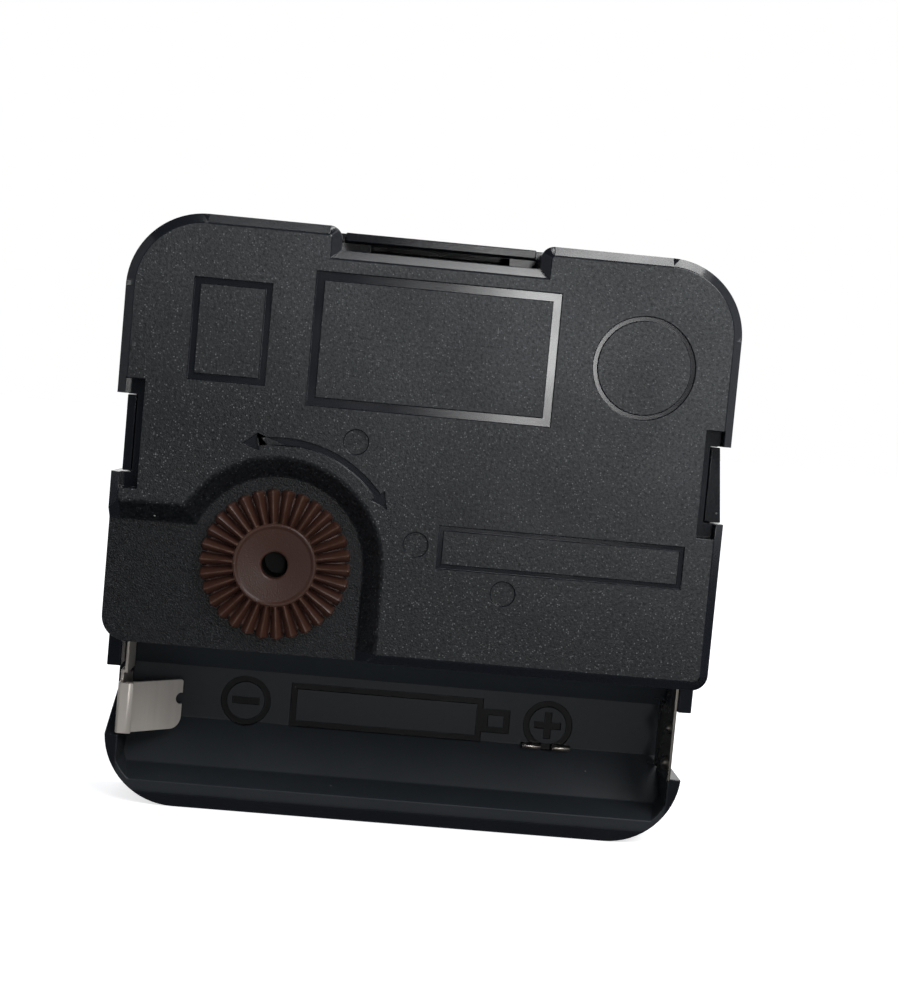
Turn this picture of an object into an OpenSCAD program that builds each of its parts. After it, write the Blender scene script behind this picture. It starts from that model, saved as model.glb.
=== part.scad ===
// Quartz clock movement with a sunken setting knob and an open bay for one AA cell.
// It hangs upright: X runs left to right as seen from the back, Z runs up, and the
// viewer of the back cover stands at -Y. The hand shafts leave on the dial side, +Y.
// Every piece is drawn lying down, with x across, y up and z the height above the
// dial seat towards the back cover; upright() then stands it up.

/* [Body] */
// Width of the square body
body_w = 56; // [55:0.5:64]
// Height of the square body
body_h = 56; // [55:0.5:64]
// Depth from the dial seat to the back of the cover
body_t = 16; // [15.8:0.1:19]
// Radius of the body's four corners
corner_r = 7; // [6:0.25:9]
// Thickness of the side walls
wall = 1.3; // [1:0.05:1.6]
// Thickness of the plate behind the dial
plate_t = 1.2; // [1:0.05:1.5]
// Height of the seam between the case and the cover
seam_z = 9.5; // [9:0.1:10.5]

/* [Back cover] */
// Thickness of the cover
cover_t = 1.3; // [1:0.05:1.5]
// Height of the cover's lower edge below the hand shaft
cover_drop = 11.3; // [10.9:0.1:11.8]
// Depth of the sunken area round the setting knob
sunk_d = 1.8; // [1.4:0.1:2.2]
// Radius of the round part of the sunken area, halfway up its slope
sunk_r = 8.95; // [8.4:0.05:9.6]
// Half of the width of the slope round the sunken area
slope_w = 0.9; // [0.4:0.05:1]
// Height of the step at the left edge above the hand shaft
step_y = 0.9; // [0:0.05:1.2]
// Radius of the cover's lower right corner
cover_r = 1.5; // [1:0.1:2.5]
// Radius of the cover's lower left corner
cover_left_r = 2.3; // [1:0.1:3]
// Width and height of the bevel on the cover's edges
bevel = 0.9; // [0.5:0.1:1.1]
// Depth of the pressed-in frames, rings and arrow
relief_d = 0.2; // [0.1:0.05:0.3]

/* [Hanger and clips] */
// Width of the hanger notch in the top edge
notch_w = 18; // [14:0.5:22]
// Depth of the hanger notch from the top edge
notch_d = 2.1; // [1.8:0.1:2.4]
// Radius of the cover's corners beside the hanger notch
notch_r = 1.2; // [1:0.1:2]
// Length of the hanger slot inside the notch
slot_l = 13; // [8:0.5:14]
// Width of the hanger slot
slot_w = 0.8; // [0.6:0.1:1]
// Length of a side clip
clip_l = 6.9; // [5:0.1:8]
// Height of the clips' centre above the hand shaft
clip_y = 7.8; // [6:0.1:9]
// Depth of the side notch over a clip
clip_d = 0.85; // [0.6:0.05:1]
// Length of the recess round a clip
recess_l = 9.9; // [9.5:0.1:11]
// Distance of the recess's inner edge from the body's side
recess_w = 2.55; // [2:0.05:2.6]
// Depth of the recess round a clip
recess_d = 1.5; // [1:0.1:2]

/* [Battery bay] */
// Diameter of an AA cell
cell_d = 14.5; // [14:0.1:14.6]
// Space between the cell and the bay's facets
cell_gap = 0.35; // [0.2:0.05:0.4]
// Height of the bay's axis below the hand shaft
bay_y = 18; // [17.8:0.05:18.3]
// Angle between neighbouring facets of the bay
facet_a = 38; // [34:1:40]
// Height of the rim at the open side of the bay
rim_z = 8; // [7:0.25:8.5]
// Thickness of the bay's shell
bay_wall = 1.2; // [1:0.05:1.3]

/* [Contacts] */
// Thickness of the contact strips
strip_t = 0.3; // [0.2:0.05:0.35]
// Width of the negative contact
leaf_w = 4.9; // [4:0.1:5.2]
// Length of the negative contact's spring leaf
leaf_l = 6; // [5:0.1:6.2]
// Slope of the free leaf below level
leaf_a = 40; // [30:1:45]
// Height of the fold where the leaf begins
fold_z = 7.6; // [7.4:0.1:8]
// Width of the positive contact
plus_w = 6.6; // [6:0.1:7]
// Radius of the two domes on the positive contact
dome_r = 0.8; // [0.6:0.05:0.9]
// Distance between the two domes
dome_gap = 3.4; // [2.6:0.1:4]

/* [Setting knob] */
// Diameter of the knob over its ribs
knob_d = 13.8; // [12:0.1:15]
// Number of ribs
ribs = 30; // [20:1:36]
// Diameter of the smooth hub
hub_d = 7.6; // [6:0.1:9]
// Diameter of the hole in the hub
knob_hole_d = 2.4; // [1.5:0.1:2.6]
// Diameter of the knob's shaft
knob_shaft_d = 3.9; // [3.9:0.1:4.4]
// Distance of the knob from the hand shaft
knob_dist = 12.95; // [12.6:0.05:13.3]
// Direction of the knob from the hand shaft
knob_dir = 193.4; // [191:0.2:195]

/* [Hand shafts] */
// Diameter of the threaded bush
bush_d = 8; // [7.6:0.1:9]
// Length of the threaded bush
bush_l = 6; // [4:0.5:12]
// Pitch of the thread's ring grooves
thread_p = 0.75; // [0.75:0.05:1]
// Depth of the thread
thread_d = 0.4; // [0.3:0.02:0.45]
// Diameter of the hour hand's seat on the hour tube
hour_d = 5; // [4.8:0.05:5.1]
// Diameter of the minute arbor
minute_d = 3.2; // [3:0.05:3.3]
// Width over the minute arbor's flats
flats_w = 2.6; // [2.4:0.05:2.8]
// Diameter of the second hand's seat
second_d = 1; // [0.8:0.05:1.05]
// Step from a hand's seat to the thicker part behind it, on the radius
shoulder = 0.2; // [0.16:0.01:0.25]
// Length that the hour tube stands out of the bush
hour_out = 2.5; // [2:0.1:4]
// Length that the minute arbor stands out of the hour tube
minute_out = 2.5; // [2:0.1:4]
// Length that the second-hand arbor stands out of the minute arbor
second_out = 2; // [1.5:0.1:4]

/* [Gears] */
// Thickness of the wheels
wheel_t = 0.7; // [0.5:0.02:0.7]
// Height between one wheel and the next
level_gap = 0.3; // [0.25:0.01:0.35]
// Module of the minute wheel and the third wheel's pinion
minute_m = 0.2; // [0.19:0.002:0.204]
// Module of the seconds wheel and the intermediate pinion
second_m = 0.21; // [0.206:0.002:0.214]
// Module of the intermediate wheel and the rotor pinion
rotor_m = 0.18; // [0.17:0.002:0.19]
// Module of the setting pinion, the motion wheel and the cannon pinion
motion_m = 0.25; // [0.246:0.002:0.254]
// Direction of the third wheel from the hand shaft
third_dir = 20; // [14:1:24]
// Direction of the rotor from the intermediate wheel
rotor_dir = 168.7; // [160:1:176]
// Free play of a pivot in its hole, on the radius
pivot_play = 0.04; // [0.02:0.01:0.08]

/* [Motor and circuit] */
// Radius of the rotor magnet
magnet_r = 2.6; // [2:0.1:2.8]
// Thickness of the rotor magnet
magnet_t = 1.8; // [1.2:0.1:2]
// Gap between the magnet and the stator
air_gap = 0.4; // [0.3:0.05:0.6]
// Thickness of the stator
stator_t = 0.8; // [0.6:0.05:1]
// Gap between the coil and the ledge under the hanger notch
coil_gap = 0.5; // [0.3:0.1:1.5]
// Length of the coil over its flanges
coil_l = 17; // [14:0.5:18]
// Diameter of the coil's flanges
coil_d = 7.2; // [6:0.1:7.4]
// Thickness of the circuit board
board_t = 1; // [0.8:0.1:1.2]
// Diameter of the quartz crystal's can
crystal_d = 2; // [1.5:0.1:2.2]
// Length of the quartz crystal's can
crystal_l = 6; // [5:0.1:7]

/* [Hidden] */

$fn = 64;

// Clearances
fit = 0.05;
slack = 0.1;
eps = 0.01;

// Colours
black = [0.10, 0.10, 0.12];
grey = [0.17, 0.17, 0.18];
brown = [0.36, 0.22, 0.18];
ivory = [0.86, 0.85, 0.80];
white = [0.93, 0.93, 0.91];
steel = [0.72, 0.73, 0.74];
nickel = [0.82, 0.80, 0.75];
brass = [0.78, 0.64, 0.36];
copper = [0.72, 0.40, 0.22];
green = [0.12, 0.36, 0.22];

// Heights of the layers above the dial seat
flange_t = 0.6;
flange_gap = 0.2;
pinion_over = 0.1;
hour_z = plate_t + flange_t + flange_gap;
wheel_step = wheel_t + level_gap;
motion_z = hour_z + wheel_step;
minute_z = motion_z + wheel_step;
third_z = minute_z + wheel_step;
second_z = third_z + wheel_step;
inter_z = second_z + wheel_step;
mid_z = inter_z + wheel_step;
mid_t = 1;
stator_z = mid_z + mid_t;
core_z = stator_z + stator_t;
core_t = 0.7;
coil_z = core_z + core_t / 2;
sunk_z = body_t - sunk_d;
roof_z = body_t - cover_t;
sunk_roof_z = sunk_z - cover_t;

// Outline of the body
half_w = body_w / 2;
half_h = body_h / 2;
inner_w = half_w - wall;

// Hanger notch and clips
notch_y = half_h - notch_d;
ledge_y = notch_y - wall;
hanger_wall = 0.8;
hanger_rise = 1;
slot_inset = 0.4;
slot_floor = 3.5;
clip_z = body_t - recess_d;
clip_foot = 3;
tongue_t = 0.8;
tongue_in = half_w - clip_d - tongue_t;
wedge_gap = 0.15;
ledge_t = 1.5;

// Battery bay: a trough with flat facets round the cell
bay_r = cell_d / 2 + cell_gap;
bay_z = plate_t + bay_r;
bay_corner_wall = 0.6;
lip_rise = 2.8;
lip_z = bay_z + lip_rise;
lip_t = 1.2;
cheek_l = 3.2;
cheek_y = -cover_drop - cheek_l;
scoop_l = 3.6;
scoop_slope = 3.4;
scoop_z = 2;
window_z = 1.6;

// Tooth counts
minute_teeth = 64;
third_teeth = 60;
second_teeth = 60;
inter_teeth = 60;
hour_teeth = 48;
motion_teeth = 42;
third_pinion = 8;
second_pinion = 8;
inter_pinion = 12;
rotor_teeth = 10;
cannon_teeth = 14;
motion_pinion = 12;
knob_teeth = 14;

// Centres of the arbors, from tooth counts and modules
third_dist = (minute_teeth + third_pinion) * minute_m / 2;
third_m = third_dist * 2 / (third_teeth + second_pinion);
inter_dist = (second_teeth + inter_pinion) * second_m / 2;
rotor_dist = (inter_teeth + rotor_teeth) * rotor_m / 2;
motion_dist = (motion_teeth + cannon_teeth) * motion_m / 2;
hour_m = motion_dist * 2 / (hour_teeth + motion_pinion);
third_at = third_dist * [cos(third_dir), sin(third_dir)];
inter_at = inter_dist * [0, 1];
rotor_at = inter_at + rotor_dist * [cos(rotor_dir), sin(rotor_dir)];
knob_at = knob_dist * [cos(knob_dir), sin(knob_dir)];
motion_rise = sqrt(pow(motion_dist, 2) - pow(knob_dist / 2, 2));
motion_at = knob_at / 2 + motion_rise * [sin(knob_dir), -cos(knob_dir)];
motion_dir = atan2(motion_at.y, motion_at.x);
motion_knob_dir = atan2(knob_at.y - motion_at.y, knob_at.x - motion_at.x);

// A tooth of gear b falls in a gap of gear a on the line between their centres
function mesh(dir, teeth_a, phase_a, teeth_b) =
    dir + 180 + 180 / teeth_b - teeth_a / teeth_b * (phase_a - dir);

// Turn of each gear so that all the teeth mesh at rest
third_pinion_phase = mesh(third_dir, minute_teeth, 0, third_pinion);
second_pinion_phase = mesh(third_dir + 180, third_teeth, 0, second_pinion);
inter_pinion_phase = mesh(90, second_teeth, 0, inter_pinion);
rotor_phase = mesh(rotor_dir, inter_teeth, 0, rotor_teeth);
cannon_phase = mesh(motion_dir + 180, motion_teeth, 0, cannon_teeth);
knob_phase = mesh(motion_knob_dir, motion_teeth, 0, knob_teeth);
hour_phase = mesh(motion_dir + 180, motion_pinion, 0, hour_teeth);

// Arbors, posts and pins
arbor_r = 0.4;
pivot_r = 0.3;
pivot_l = 0.8;
hole_spare = 0.2;
end_play = 0.15;
post_r = 1.3;
post_pin_r = 0.7;
pin_over = 0.2;
stud_r = 0.6;
hub_r = 1.25;
cannon_bore_r = second_d / 2 + shoulder + fit;
hour_bore_r = minute_d / 2 + fit;
bush_bore_r = hour_d / 2 + shoulder + fit;
neck_w = 0.3;
bush_neck_r = bush_d / 2 + neck_w;
flange_w = 1;
bush_flange_r = bush_neck_r + flange_w;
knob_shaft_r = knob_shaft_d / 2;
knob_bore_r = knob_shaft_r + slack;
knob_tail_r = 0.8;
knob_tail_z = plate_t + hole_spare;
magnet_z = stator_z + stator_t / 2 - magnet_t / 2;
stator_r = magnet_r + air_gap;
arbor_top = mid_z - end_play;
pivot_top = stator_z - end_play;
cap_rise = 2.1;
rotor_cap_z = stator_z + cap_rise;
boss_gap = 0.4;
inter_boss_z = second_z - boss_gap - slack;
third_boss_z = minute_z - boss_gap;
rotor_boss_z = inter_z - boss_gap - wheel_t / 2;
knob_boss_z = motion_z - boss_gap;
inter_boss_r = 0.75;
third_boss_r = 0.9;
rotor_boss_r = 1.1;
motion_boss_r = 1.2;
knob_boss_r = 1.8;

// Tips of the bush and of the three hand shafts
bush_tip = -bush_l;
hour_tip = bush_tip - hour_out;
minute_tip = hour_tip - minute_out;
second_tip = minute_tip - second_out;
flats_l = minute_out * 0.8;
cannon_top = third_z - 2 * pinion_over - fit;

// Middle plate, stator, coil and circuit board, as left, low, right and top edges
mid_left = -16.2;
mid_low = -8.2;
mid_right = 13.4;
mid_top = 13.6;
mid_corner = 1.5;
post_inset = 1.7;
mid_posts = [[-13, mid_top - post_inset], [mid_right - post_inset, mid_top - post_inset],
             [10.6, mid_low + post_inset], [-7, mid_low + post_inset]];
coil_x = -1;
coil_y = ledge_y - coil_d / 2 - coil_gap;
leg_w = 4;
leg_gap = 0.4;
leg_left = coil_x - coil_l / 2 - leg_w - leg_gap;
leg_right = coil_x + coil_l / 2 + leg_w + leg_gap;
stator_edge = 1;
stator_low = rotor_at.y - stator_r - stator_edge;
stator_top = rotor_at.y + stator_r + stator_edge;
core_w = 3;
leg_top = coil_y + core_w / 2 + stator_edge / 2;
stakes = [[leg_left + leg_w / 2, coil_y], [leg_right - leg_w / 2, coil_y]];
stake_r = 0.8;
stake_over = 0.4;
stake_top = core_z + core_t + stake_over;
bobbin_r = 1.95;
bobbin_end = 0.8;
winding_gap = 0.03;
flange_over = 0.3;
wound_r = coil_d / 2 - flange_over;
board_gap = 0.8;
board_left = mid_right + board_gap;
board_right = inner_w - board_gap - slack;
board_low = -7.6;
board_top = 12.5;
board_corner = 0.6;
board_inset = 2;
low_inset = 5;
board_z = stator_z;
board_top_z = board_z + board_t;
board_posts = [[board_left + board_inset, board_top - board_inset],
               [board_right - board_inset, board_top - board_inset],
               [board_left + board_inset, board_low + low_inset]];
solder_t = 0.02;
pad_z = board_top_z + solder_t;
crystal_x = board_right - crystal_d;
crystal_up = 7;
crystal_y = board_low + crystal_up;
crystal_lead_r = 0.12;
crystal_lead_l = 1.6;
chip_r = 2.4;
chip_h = 1;
chip_gap = 0.4;
chip_at = [crystal_x - crystal_d / 2 - chip_gap - chip_r, 3.2];
lead_r = 0.12;
lead_inset = 1.2;
lead_step = 2;
lead_x = [board_left + lead_inset, board_left + lead_inset + lead_step];
lead_gap = 0.9;
lead_end_y = board_top - lead_inset;

// Contacts
leg_inset = 1;
leg_x = -half_w + leg_inset;
tail_x = -inner_w + fit;
fold_x = leg_x + 1;
fold_r = 0.32;
curl_r = fold_r + fit;
curl_a = 40;
leaf_drop = 0.8;
leaf_y = -bay_y - leaf_drop;
leaf_low = leaf_y - leaf_w / 2;
leaf_high = leaf_y + leaf_w / 2;
bite_r = 0.55;
bite_y = 3;
leaf_corner = 1.2;
run_gap = 0.2;
run_rise = 0.4;
run_z = stator_z + run_rise;
run_h = 2;
tail_low = 3;
tail_high = 7;
bend_gap = 0.8;
bend_y = cheek_y - bend_gap;
pad_w = 2.4;
pad_l = 2;
pad_over = 0.6;
plus_x = inner_w - strip_t - fit;
plus_low = 1.8;
plus_top = bay_z + 0.5;
plus_tail_z = 5;
dome_drop = 0.3;
dome_z = bay_z - dome_drop;
pad_y = board_low - pad_over;
tab_x = [12.8, 15.8];
tab_l = 1.9;
tab_t = 0.35;
tab_h = 0.9;
tab_root = 0.6;

module upright() {
    rotate([90, 0, 0]) children();
}

// Flat rectangle between two corners, with its own radius at each corner
module plate_2d(left, low, right, top, radii) {
    spots = [[left, low], [right, low], [right, top], [left, top]];
    turns = [[1, 1], [-1, 1], [-1, -1], [1, -1]];
    difference() {
        translate([left, low]) square([right - left, top - low]);
        for (i = [0 : 3])
            if (radii[i] > 0) translate(spots[i]) corner_waste(turns[i], radii[i]);
    }
}

// The piece that a rounded corner leaves out; turn points into the rectangle
module corner_waste(turn, r) {
    mirror([turn.x < 0 ? 1 : 0, 0])
        mirror([0, turn.y < 0 ? 1 : 0])
            difference() {
                translate([-1, -1]) square([r + 1, r + 1]);
                translate([r, r]) circle(r);
            }
}

module block(low, high) {
    translate(low) cube(high - low);
}

module rod(r, low, high) {
    translate([0, 0, low]) cylinder(r = r, h = high - low);
}

module both_sides() {
    for (side = [0, 1]) mirror([side, 0, 0]) children();
}

// Extrudes a section drawn as (up, height) across the body
module across(left, right) {
    translate([left, 0, 0]) rotate([90, 0, 90]) linear_extrude(right - left) children();
}

// Outline of the body, drawn in by inset
module body_2d(inset = 0) {
    r = corner_r - inset;
    plate_2d(-half_w + inset, -half_h + inset, half_w - inset, half_h - inset, [r, r, r, r]);
}

module frame_2d(low, high, line) {
    difference() {
        translate(low) square(high - low);
        translate(low + [line, line]) square(high - low - 2 * [line, line]);
    }
}

module ring_2d(r, line) {
    difference() {
        circle(r);
        circle(r - line);
    }
}

// Tooth outline: straight flanks below the pitch circle and a rounded tip above it
function tooth(centre, half, root, pitch, tip) = [
    root * [cos(centre - half), sin(centre - half)],
    pitch * [cos(centre - half), sin(centre - half)],
    (pitch + 0.6 * (tip - pitch)) * [cos(centre - 0.68 * half), sin(centre - 0.68 * half)],
    tip * [cos(centre - 0.2 * half), sin(centre - 0.2 * half)],
    tip * [cos(centre + 0.2 * half), sin(centre + 0.2 * half)],
    (pitch + 0.6 * (tip - pitch)) * [cos(centre + 0.68 * half), sin(centre + 0.68 * half)],
    pitch * [cos(centre + half), sin(centre + half)],
    root * [cos(centre + half), sin(centre + half)]
];

// Share of the pitch that a tooth fills, and its rise and foot in modules
wheel_share = 0.42;
pinion_share = 0.34;
wheel_rise = 0.85;
pinion_rise = 0.7;
tooth_foot = 1.1;

module gear_2d(teeth, m, phase, share, rise) {
    pitch = teeth * m / 2;
    polygon([for (i = [0 : teeth - 1])
        each tooth(phase + i * 360 / teeth, 180 * share / teeth,
                   pitch - tooth_foot * m, pitch, pitch + rise * m)]);
}

// Wheel with a ring of lightening holes
module wheel(teeth, m, phase, z) {
    pitch = teeth * m / 2;
    holes = 5;
    hole_at = 0.58 * pitch;
    hole_r = 0.2 * pitch;
    translate([0, 0, z]) linear_extrude(wheel_t) difference() {
        gear_2d(teeth, m, phase, wheel_share, wheel_rise);
        for (i = [0 : holes - 1])
            rotate((i + 0.5) * 360 / holes) translate([hole_at, 0]) circle(hole_r);
    }
}

module pinion(teeth, m, phase, low, high) {
    translate([0, 0, low]) linear_extrude(high - low)
        gear_2d(teeth, m, phase, pinion_share, pinion_rise);
}

// Section of the trough, with x up the body and y the height above the dial seat.
// Corner 0 is at the open rim and corner 5 at the back, under the cover.
function trough_corner(i, r) =
    let (a = -90 + facet_a * (i - 2.5), far = r / cos(facet_a / 2))
    [-bay_y + far * cos(a), bay_z + far * sin(a)];

bay_back_y = trough_corner(5, bay_r).x;
shell_y = trough_corner(5, bay_r + bay_wall).x;
shell_top = sunk_roof_z - fit;
run_y = shell_y + run_gap;
tab_y = trough_corner(2, bay_r).x;

// Section of the trough's shell, solid where the cell will lie
module shell_2d() {
    outer = bay_r + bay_wall;
    polygon([[-half_h, 0], [-half_h, rim_z], [-bay_y, rim_z], [-bay_y, shell_top],
             [shell_y, shell_top], trough_corner(5, outer), trough_corner(4, outer),
             trough_corner(3, outer), [trough_corner(3, outer).x, 0]]);
}

// Space that the trough leaves for the cell
module trough_2d() {
    polygon(concat([for (i = [0 : 5]) trough_corner(i, bay_r)],
                   [[bay_back_y, body_t + 1], [trough_corner(0, bay_r).x, body_t + 1]]));
}

// Slots through the bay's walls and floor for the contacts
module contact_cuts() {
    block([leg_x - fit, leaf_low - slack, plate_t + slack],
          [-inner_w + eps, leaf_high + slack, body_t]);
    block([leg_x - fit, leaf_high, tail_low - hole_spare],
          [tail_x + strip_t + slack, bend_y + hole_spare, tail_high + strip_t]);
    block([-inner_w - eps, bend_y - slack, tail_low - hole_spare],
          [tail_x + strip_t + slack, shell_y + 1, run_z + run_h + slack]);
    block([plus_x - slack, bend_y - slack, plus_tail_z - hole_spare],
          [inner_w + eps, shell_y + 1, plus_top + slack]);
    for (x = tab_x)
        block([x - fit, tab_y - tab_t / 2 - fit, plate_t - tab_root],
              [x + tab_l + fit, tab_y + tab_t / 2 + fit, plate_t + 1]);
}

// Marks pressed into the bay's floor: a minus, a plus and the outline of a cell
mark_r = 2.5;
mark_line = 0.6;
mark_x = 15.3;
mark_drop = 0.5;
mark_y = -bay_y - mark_drop;
bar_l = 2.7;
bar_w = 0.7;
outline_left = -10.8;
outline_right = 8.6;
outline_half = 2.2;
nub_half = 1.2;
nub_l = 2.8;

module bay_marks_2d() {
    translate([0, mark_y]) {
        for (x = [-mark_x, mark_x]) translate([x, 0]) {
            ring_2d(mark_r, mark_line);
            square([bar_l, bar_w], center = true);
        }
        translate([mark_x, 0]) square([bar_w, bar_l], center = true);
        frame_2d([outline_left, -outline_half], [outline_right, outline_half], mark_line);
        frame_2d([outline_right, -nub_half], [outline_right + nub_l, nub_half], mark_line);
    }
}

// Post with a pin that goes through the piece it carries
module post(at, top, pin_top, r = post_r, pin_r = post_pin_r) {
    translate(at) {
        rod(r, plate_t - eps, top);
        rod(pin_r, plate_t, pin_top);
    }
}

// Boss with a blind pivot hole in its top
module boss(at, r, top) {
    translate(at) difference() {
        rod(r, plate_t - eps, top);
        rod(pivot_r + pivot_play, top - pivot_l - hole_spare, top + 1);
    }
}

module case_inside() {
    stud_top = motion_z + wheel_t + level_gap - fit;
    for (at = mid_posts) post(at, mid_z, stator_z - fit);
    for (at = stakes) post(at, stator_z, stake_top, post_r, stake_r);
    for (at = board_posts) post(at, board_z, board_top_z + pin_over, post_r, stud_r);
    boss(inter_at, inter_boss_r, inter_boss_z);
    boss(third_at, third_boss_r, third_boss_z);
    boss(rotor_at, rotor_boss_r, rotor_boss_z);
    post(motion_at, hour_z - pinion_over - slack, stud_top, motion_boss_r, stud_r);
    translate(knob_at) difference() {
        rod(knob_boss_r, plate_t - eps, knob_boss_z);
        rod(knob_tail_r + slack, knob_tail_z, knob_boss_z + 1);
    }
}

// Walls, up to the seam behind the cover and up to the rim round the open bay
module case_walls() {
    linear_extrude(plate_t) body_2d();
    linear_extrude(rim_z) difference() {
        body_2d();
        body_2d(wall);
    }
    linear_extrude(seam_z) difference() {
        body_2d();
        body_2d(wall);
        translate([-body_w, -body_h]) square([2 * body_w, body_h + cheek_y]);
    }
    intersection() {
        union() {
            across(-inner_w, inner_w) shell_2d();
            across(-half_w, half_w) difference() {
                shell_2d();
                translate([-half_h, rim_z]) square([half_h + cheek_y, body_t]);
                translate([cheek_y - 1, seam_z]) square([body_h, body_t]);
            }
        }
        linear_extrude(body_t) body_2d();
    }
}

// Low places in the bay's two ends: a scoop on the left and a window on the right
module bay_end_cuts() {
    slope_y = cheek_y - scoop_l;
    across(-half_w - 1, -inner_w + 1)
        polygon([[cheek_y, body_t], [cheek_y, scoop_z], [slope_y, scoop_z],
                 [slope_y - scoop_slope, rim_z + eps], [slope_y - scoop_slope, body_t]]);
    across(inner_w - 1, half_w + 1)
        translate([-bay_y - plus_w / 2 - slack, window_z]) square([plus_w + 2 * slack, body_t]);
}

module front_case() {
    color(black) upright() {
        difference() {
            union() {
                case_walls();
                case_inside();
                hanger_block();
                both_sides() block([tongue_in, clip_y - clip_l / 2, clip_foot],
                                   [half_w - clip_d, clip_y + clip_l / 2, clip_z]);
            }
            intersection() {
                across(-inner_w, inner_w) trough_2d();
                linear_extrude(body_t + 2) body_2d(bay_corner_wall);
            }
            bay_end_cuts();
            contact_cuts();
            translate([0, 0, plate_t - relief_d]) linear_extrude(1) bay_marks_2d();
            rod(bush_neck_r + fit / 2, -1, plate_t + 1);
            both_sides() side_notch();
            block([-slot_l / 2, notch_y + slot_inset, slot_floor],
                  [slot_l / 2, notch_y + slot_inset + slot_w, body_t]);
        }
        clip_wedge();
    }
}

// Thick part of the top wall that carries the hanger slot
module hanger_block() {
    side = notch_w / 2;
    block([-side - wall, ledge_y, 0], [side + wall, half_h, seam_z]);
    block([-side + slack, half_h - hanger_wall, seam_z - eps],
          [side - slack, half_h, seam_z + hanger_rise]);
}

module side_notch() {
    block([half_w - clip_d, clip_y - clip_l / 2, clip_foot],
          [half_w + 1, clip_y + clip_l / 2, body_t + 1]);
}

// Outer part of the right tongue, which slants out towards its lower end
module clip_wedge() {
    translate([0, 0, clip_foot]) linear_extrude(clip_z - clip_foot)
        polygon([[half_w - clip_d - eps, clip_y - clip_l / 2],
                 [half_w - wedge_gap, clip_y - clip_l / 2],
                 [half_w - clip_d, clip_y + clip_l / 2],
                 [half_w - clip_d - eps, clip_y + clip_l / 2]]);
}

// The cover's outline as three parts, each drawn in by inset on every edge: 0 runs down
// the left of the hanger notch, 1 lies below the notch, and 2 runs down its right
module cover_part_2d(part, inset = 0) {
    low = -cover_drop + inset;
    low_r = [cover_left_r, 0, cover_r][part];
    if (part == 1) plate_2d(-half_w + corner_r, low, half_w - corner_r, notch_y - inset, [0, 0, 0, 0]);
    else mirror([part == 0 ? 1 : 0, 0])
        plate_2d(notch_w / 2 + inset, low, half_w - inset, half_h - inset,
                 [0, low_r - inset, corner_r - inset, notch_r - inset]);
}

// Block with the cover's outline, bevelled round the top of each part
module cover_block(top, parts) {
    for (part = parts) {
        translate([0, 0, seam_z]) linear_extrude(top - bevel - seam_z) cover_part_2d(part);
        hull() {
            translate([0, 0, top - bevel - eps]) linear_extrude(eps) cover_part_2d(part);
            translate([0, 0, top - eps]) linear_extrude(eps) cover_part_2d(part, bevel);
        }
    }
}

// What is taken from the raised plateau round the knob, with sloping sides
module sunk_cut() {
    rise = 1;
    low_r = sunk_r - slope_w;
    far_r = sunk_r + slope_w + 2 * slope_w * rise / sunk_d;
    far_y = step_y + slope_w + 2 * slope_w * rise / sunk_d;
    top = body_t + rise;
    out = -half_w - 1;
    translate(knob_at) rotate_extrude(angle = 180)
        polygon([[0, sunk_z], [low_r, sunk_z], [far_r, top], [0, top]]);
    translate([0, knob_at.y, 0]) rotate([90, 0, 0]) linear_extrude(cover_drop + knob_at.y + 1)
        polygon([[out, sunk_z], [knob_at.x + low_r, sunk_z], [knob_at.x + far_r, top],
                 [out, top]]);
    across(out, knob_at.x)
        polygon([[knob_at.y, sunk_z], [step_y - slope_w, sunk_z], [far_y, top],
                 [knob_at.y, top]]);
}

// Area under the sunken part and its slopes, where the cover's roof is low
module low_roof_2d() {
    far_r = sunk_r + cover_t;
    translate(knob_at) circle(far_r);
    translate([-half_w - 1, -cover_drop - 1])
        square([half_w + 1 + knob_at.x, cover_drop + 1 + step_y + cover_t]);
    translate([knob_at.x, -cover_drop - 1]) square([far_r, cover_drop + 1 + knob_at.y]);
}

// Hollow of the cover, with square corners behind its lower lip
module inside_2d() {
    low = -cover_drop + lip_t;
    notch_side = notch_w / 2 + wall;
    r = corner_r - wall;
    difference() {
        plate_2d(-inner_w, low, inner_w, half_h - wall, [0, 0, r, r]);
        translate([-notch_side, ledge_y]) square([2 * notch_side, body_h]);
    }
}

module cover_hollow() {
    translate([0, 0, seam_z - 1]) linear_extrude(sunk_roof_z - seam_z + 1) inside_2d();
    translate([0, 0, seam_z - 1]) linear_extrude(roof_z - seam_z + 1) difference() {
        inside_2d();
        low_roof_2d();
    }
    block([-inner_w, -cover_drop - 1, seam_z - 1],
          [inner_w, -cover_drop + lip_t + 1, lip_z]);
}

// Thick ledge under the recess round a clip
module clip_ledge() {
    block([half_w - recess_w - wall, clip_y - recess_l / 2 - wall, clip_z - ledge_t],
          [inner_w + eps, clip_y + recess_l / 2 + wall, roof_z + eps]);
}

// Recess behind the cover's side, and the window over the tongue
module clip_cuts() {
    block([half_w - recess_w, clip_y - recess_l / 2, clip_z],
          [half_w - clip_d, clip_y + recess_l / 2, body_t + 1]);
    block([tongue_in - slack, clip_y - clip_l / 2 - slack, seam_z - 1],
          [half_w + 1, clip_y + clip_l / 2 + slack, body_t + 1]);
}

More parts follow.
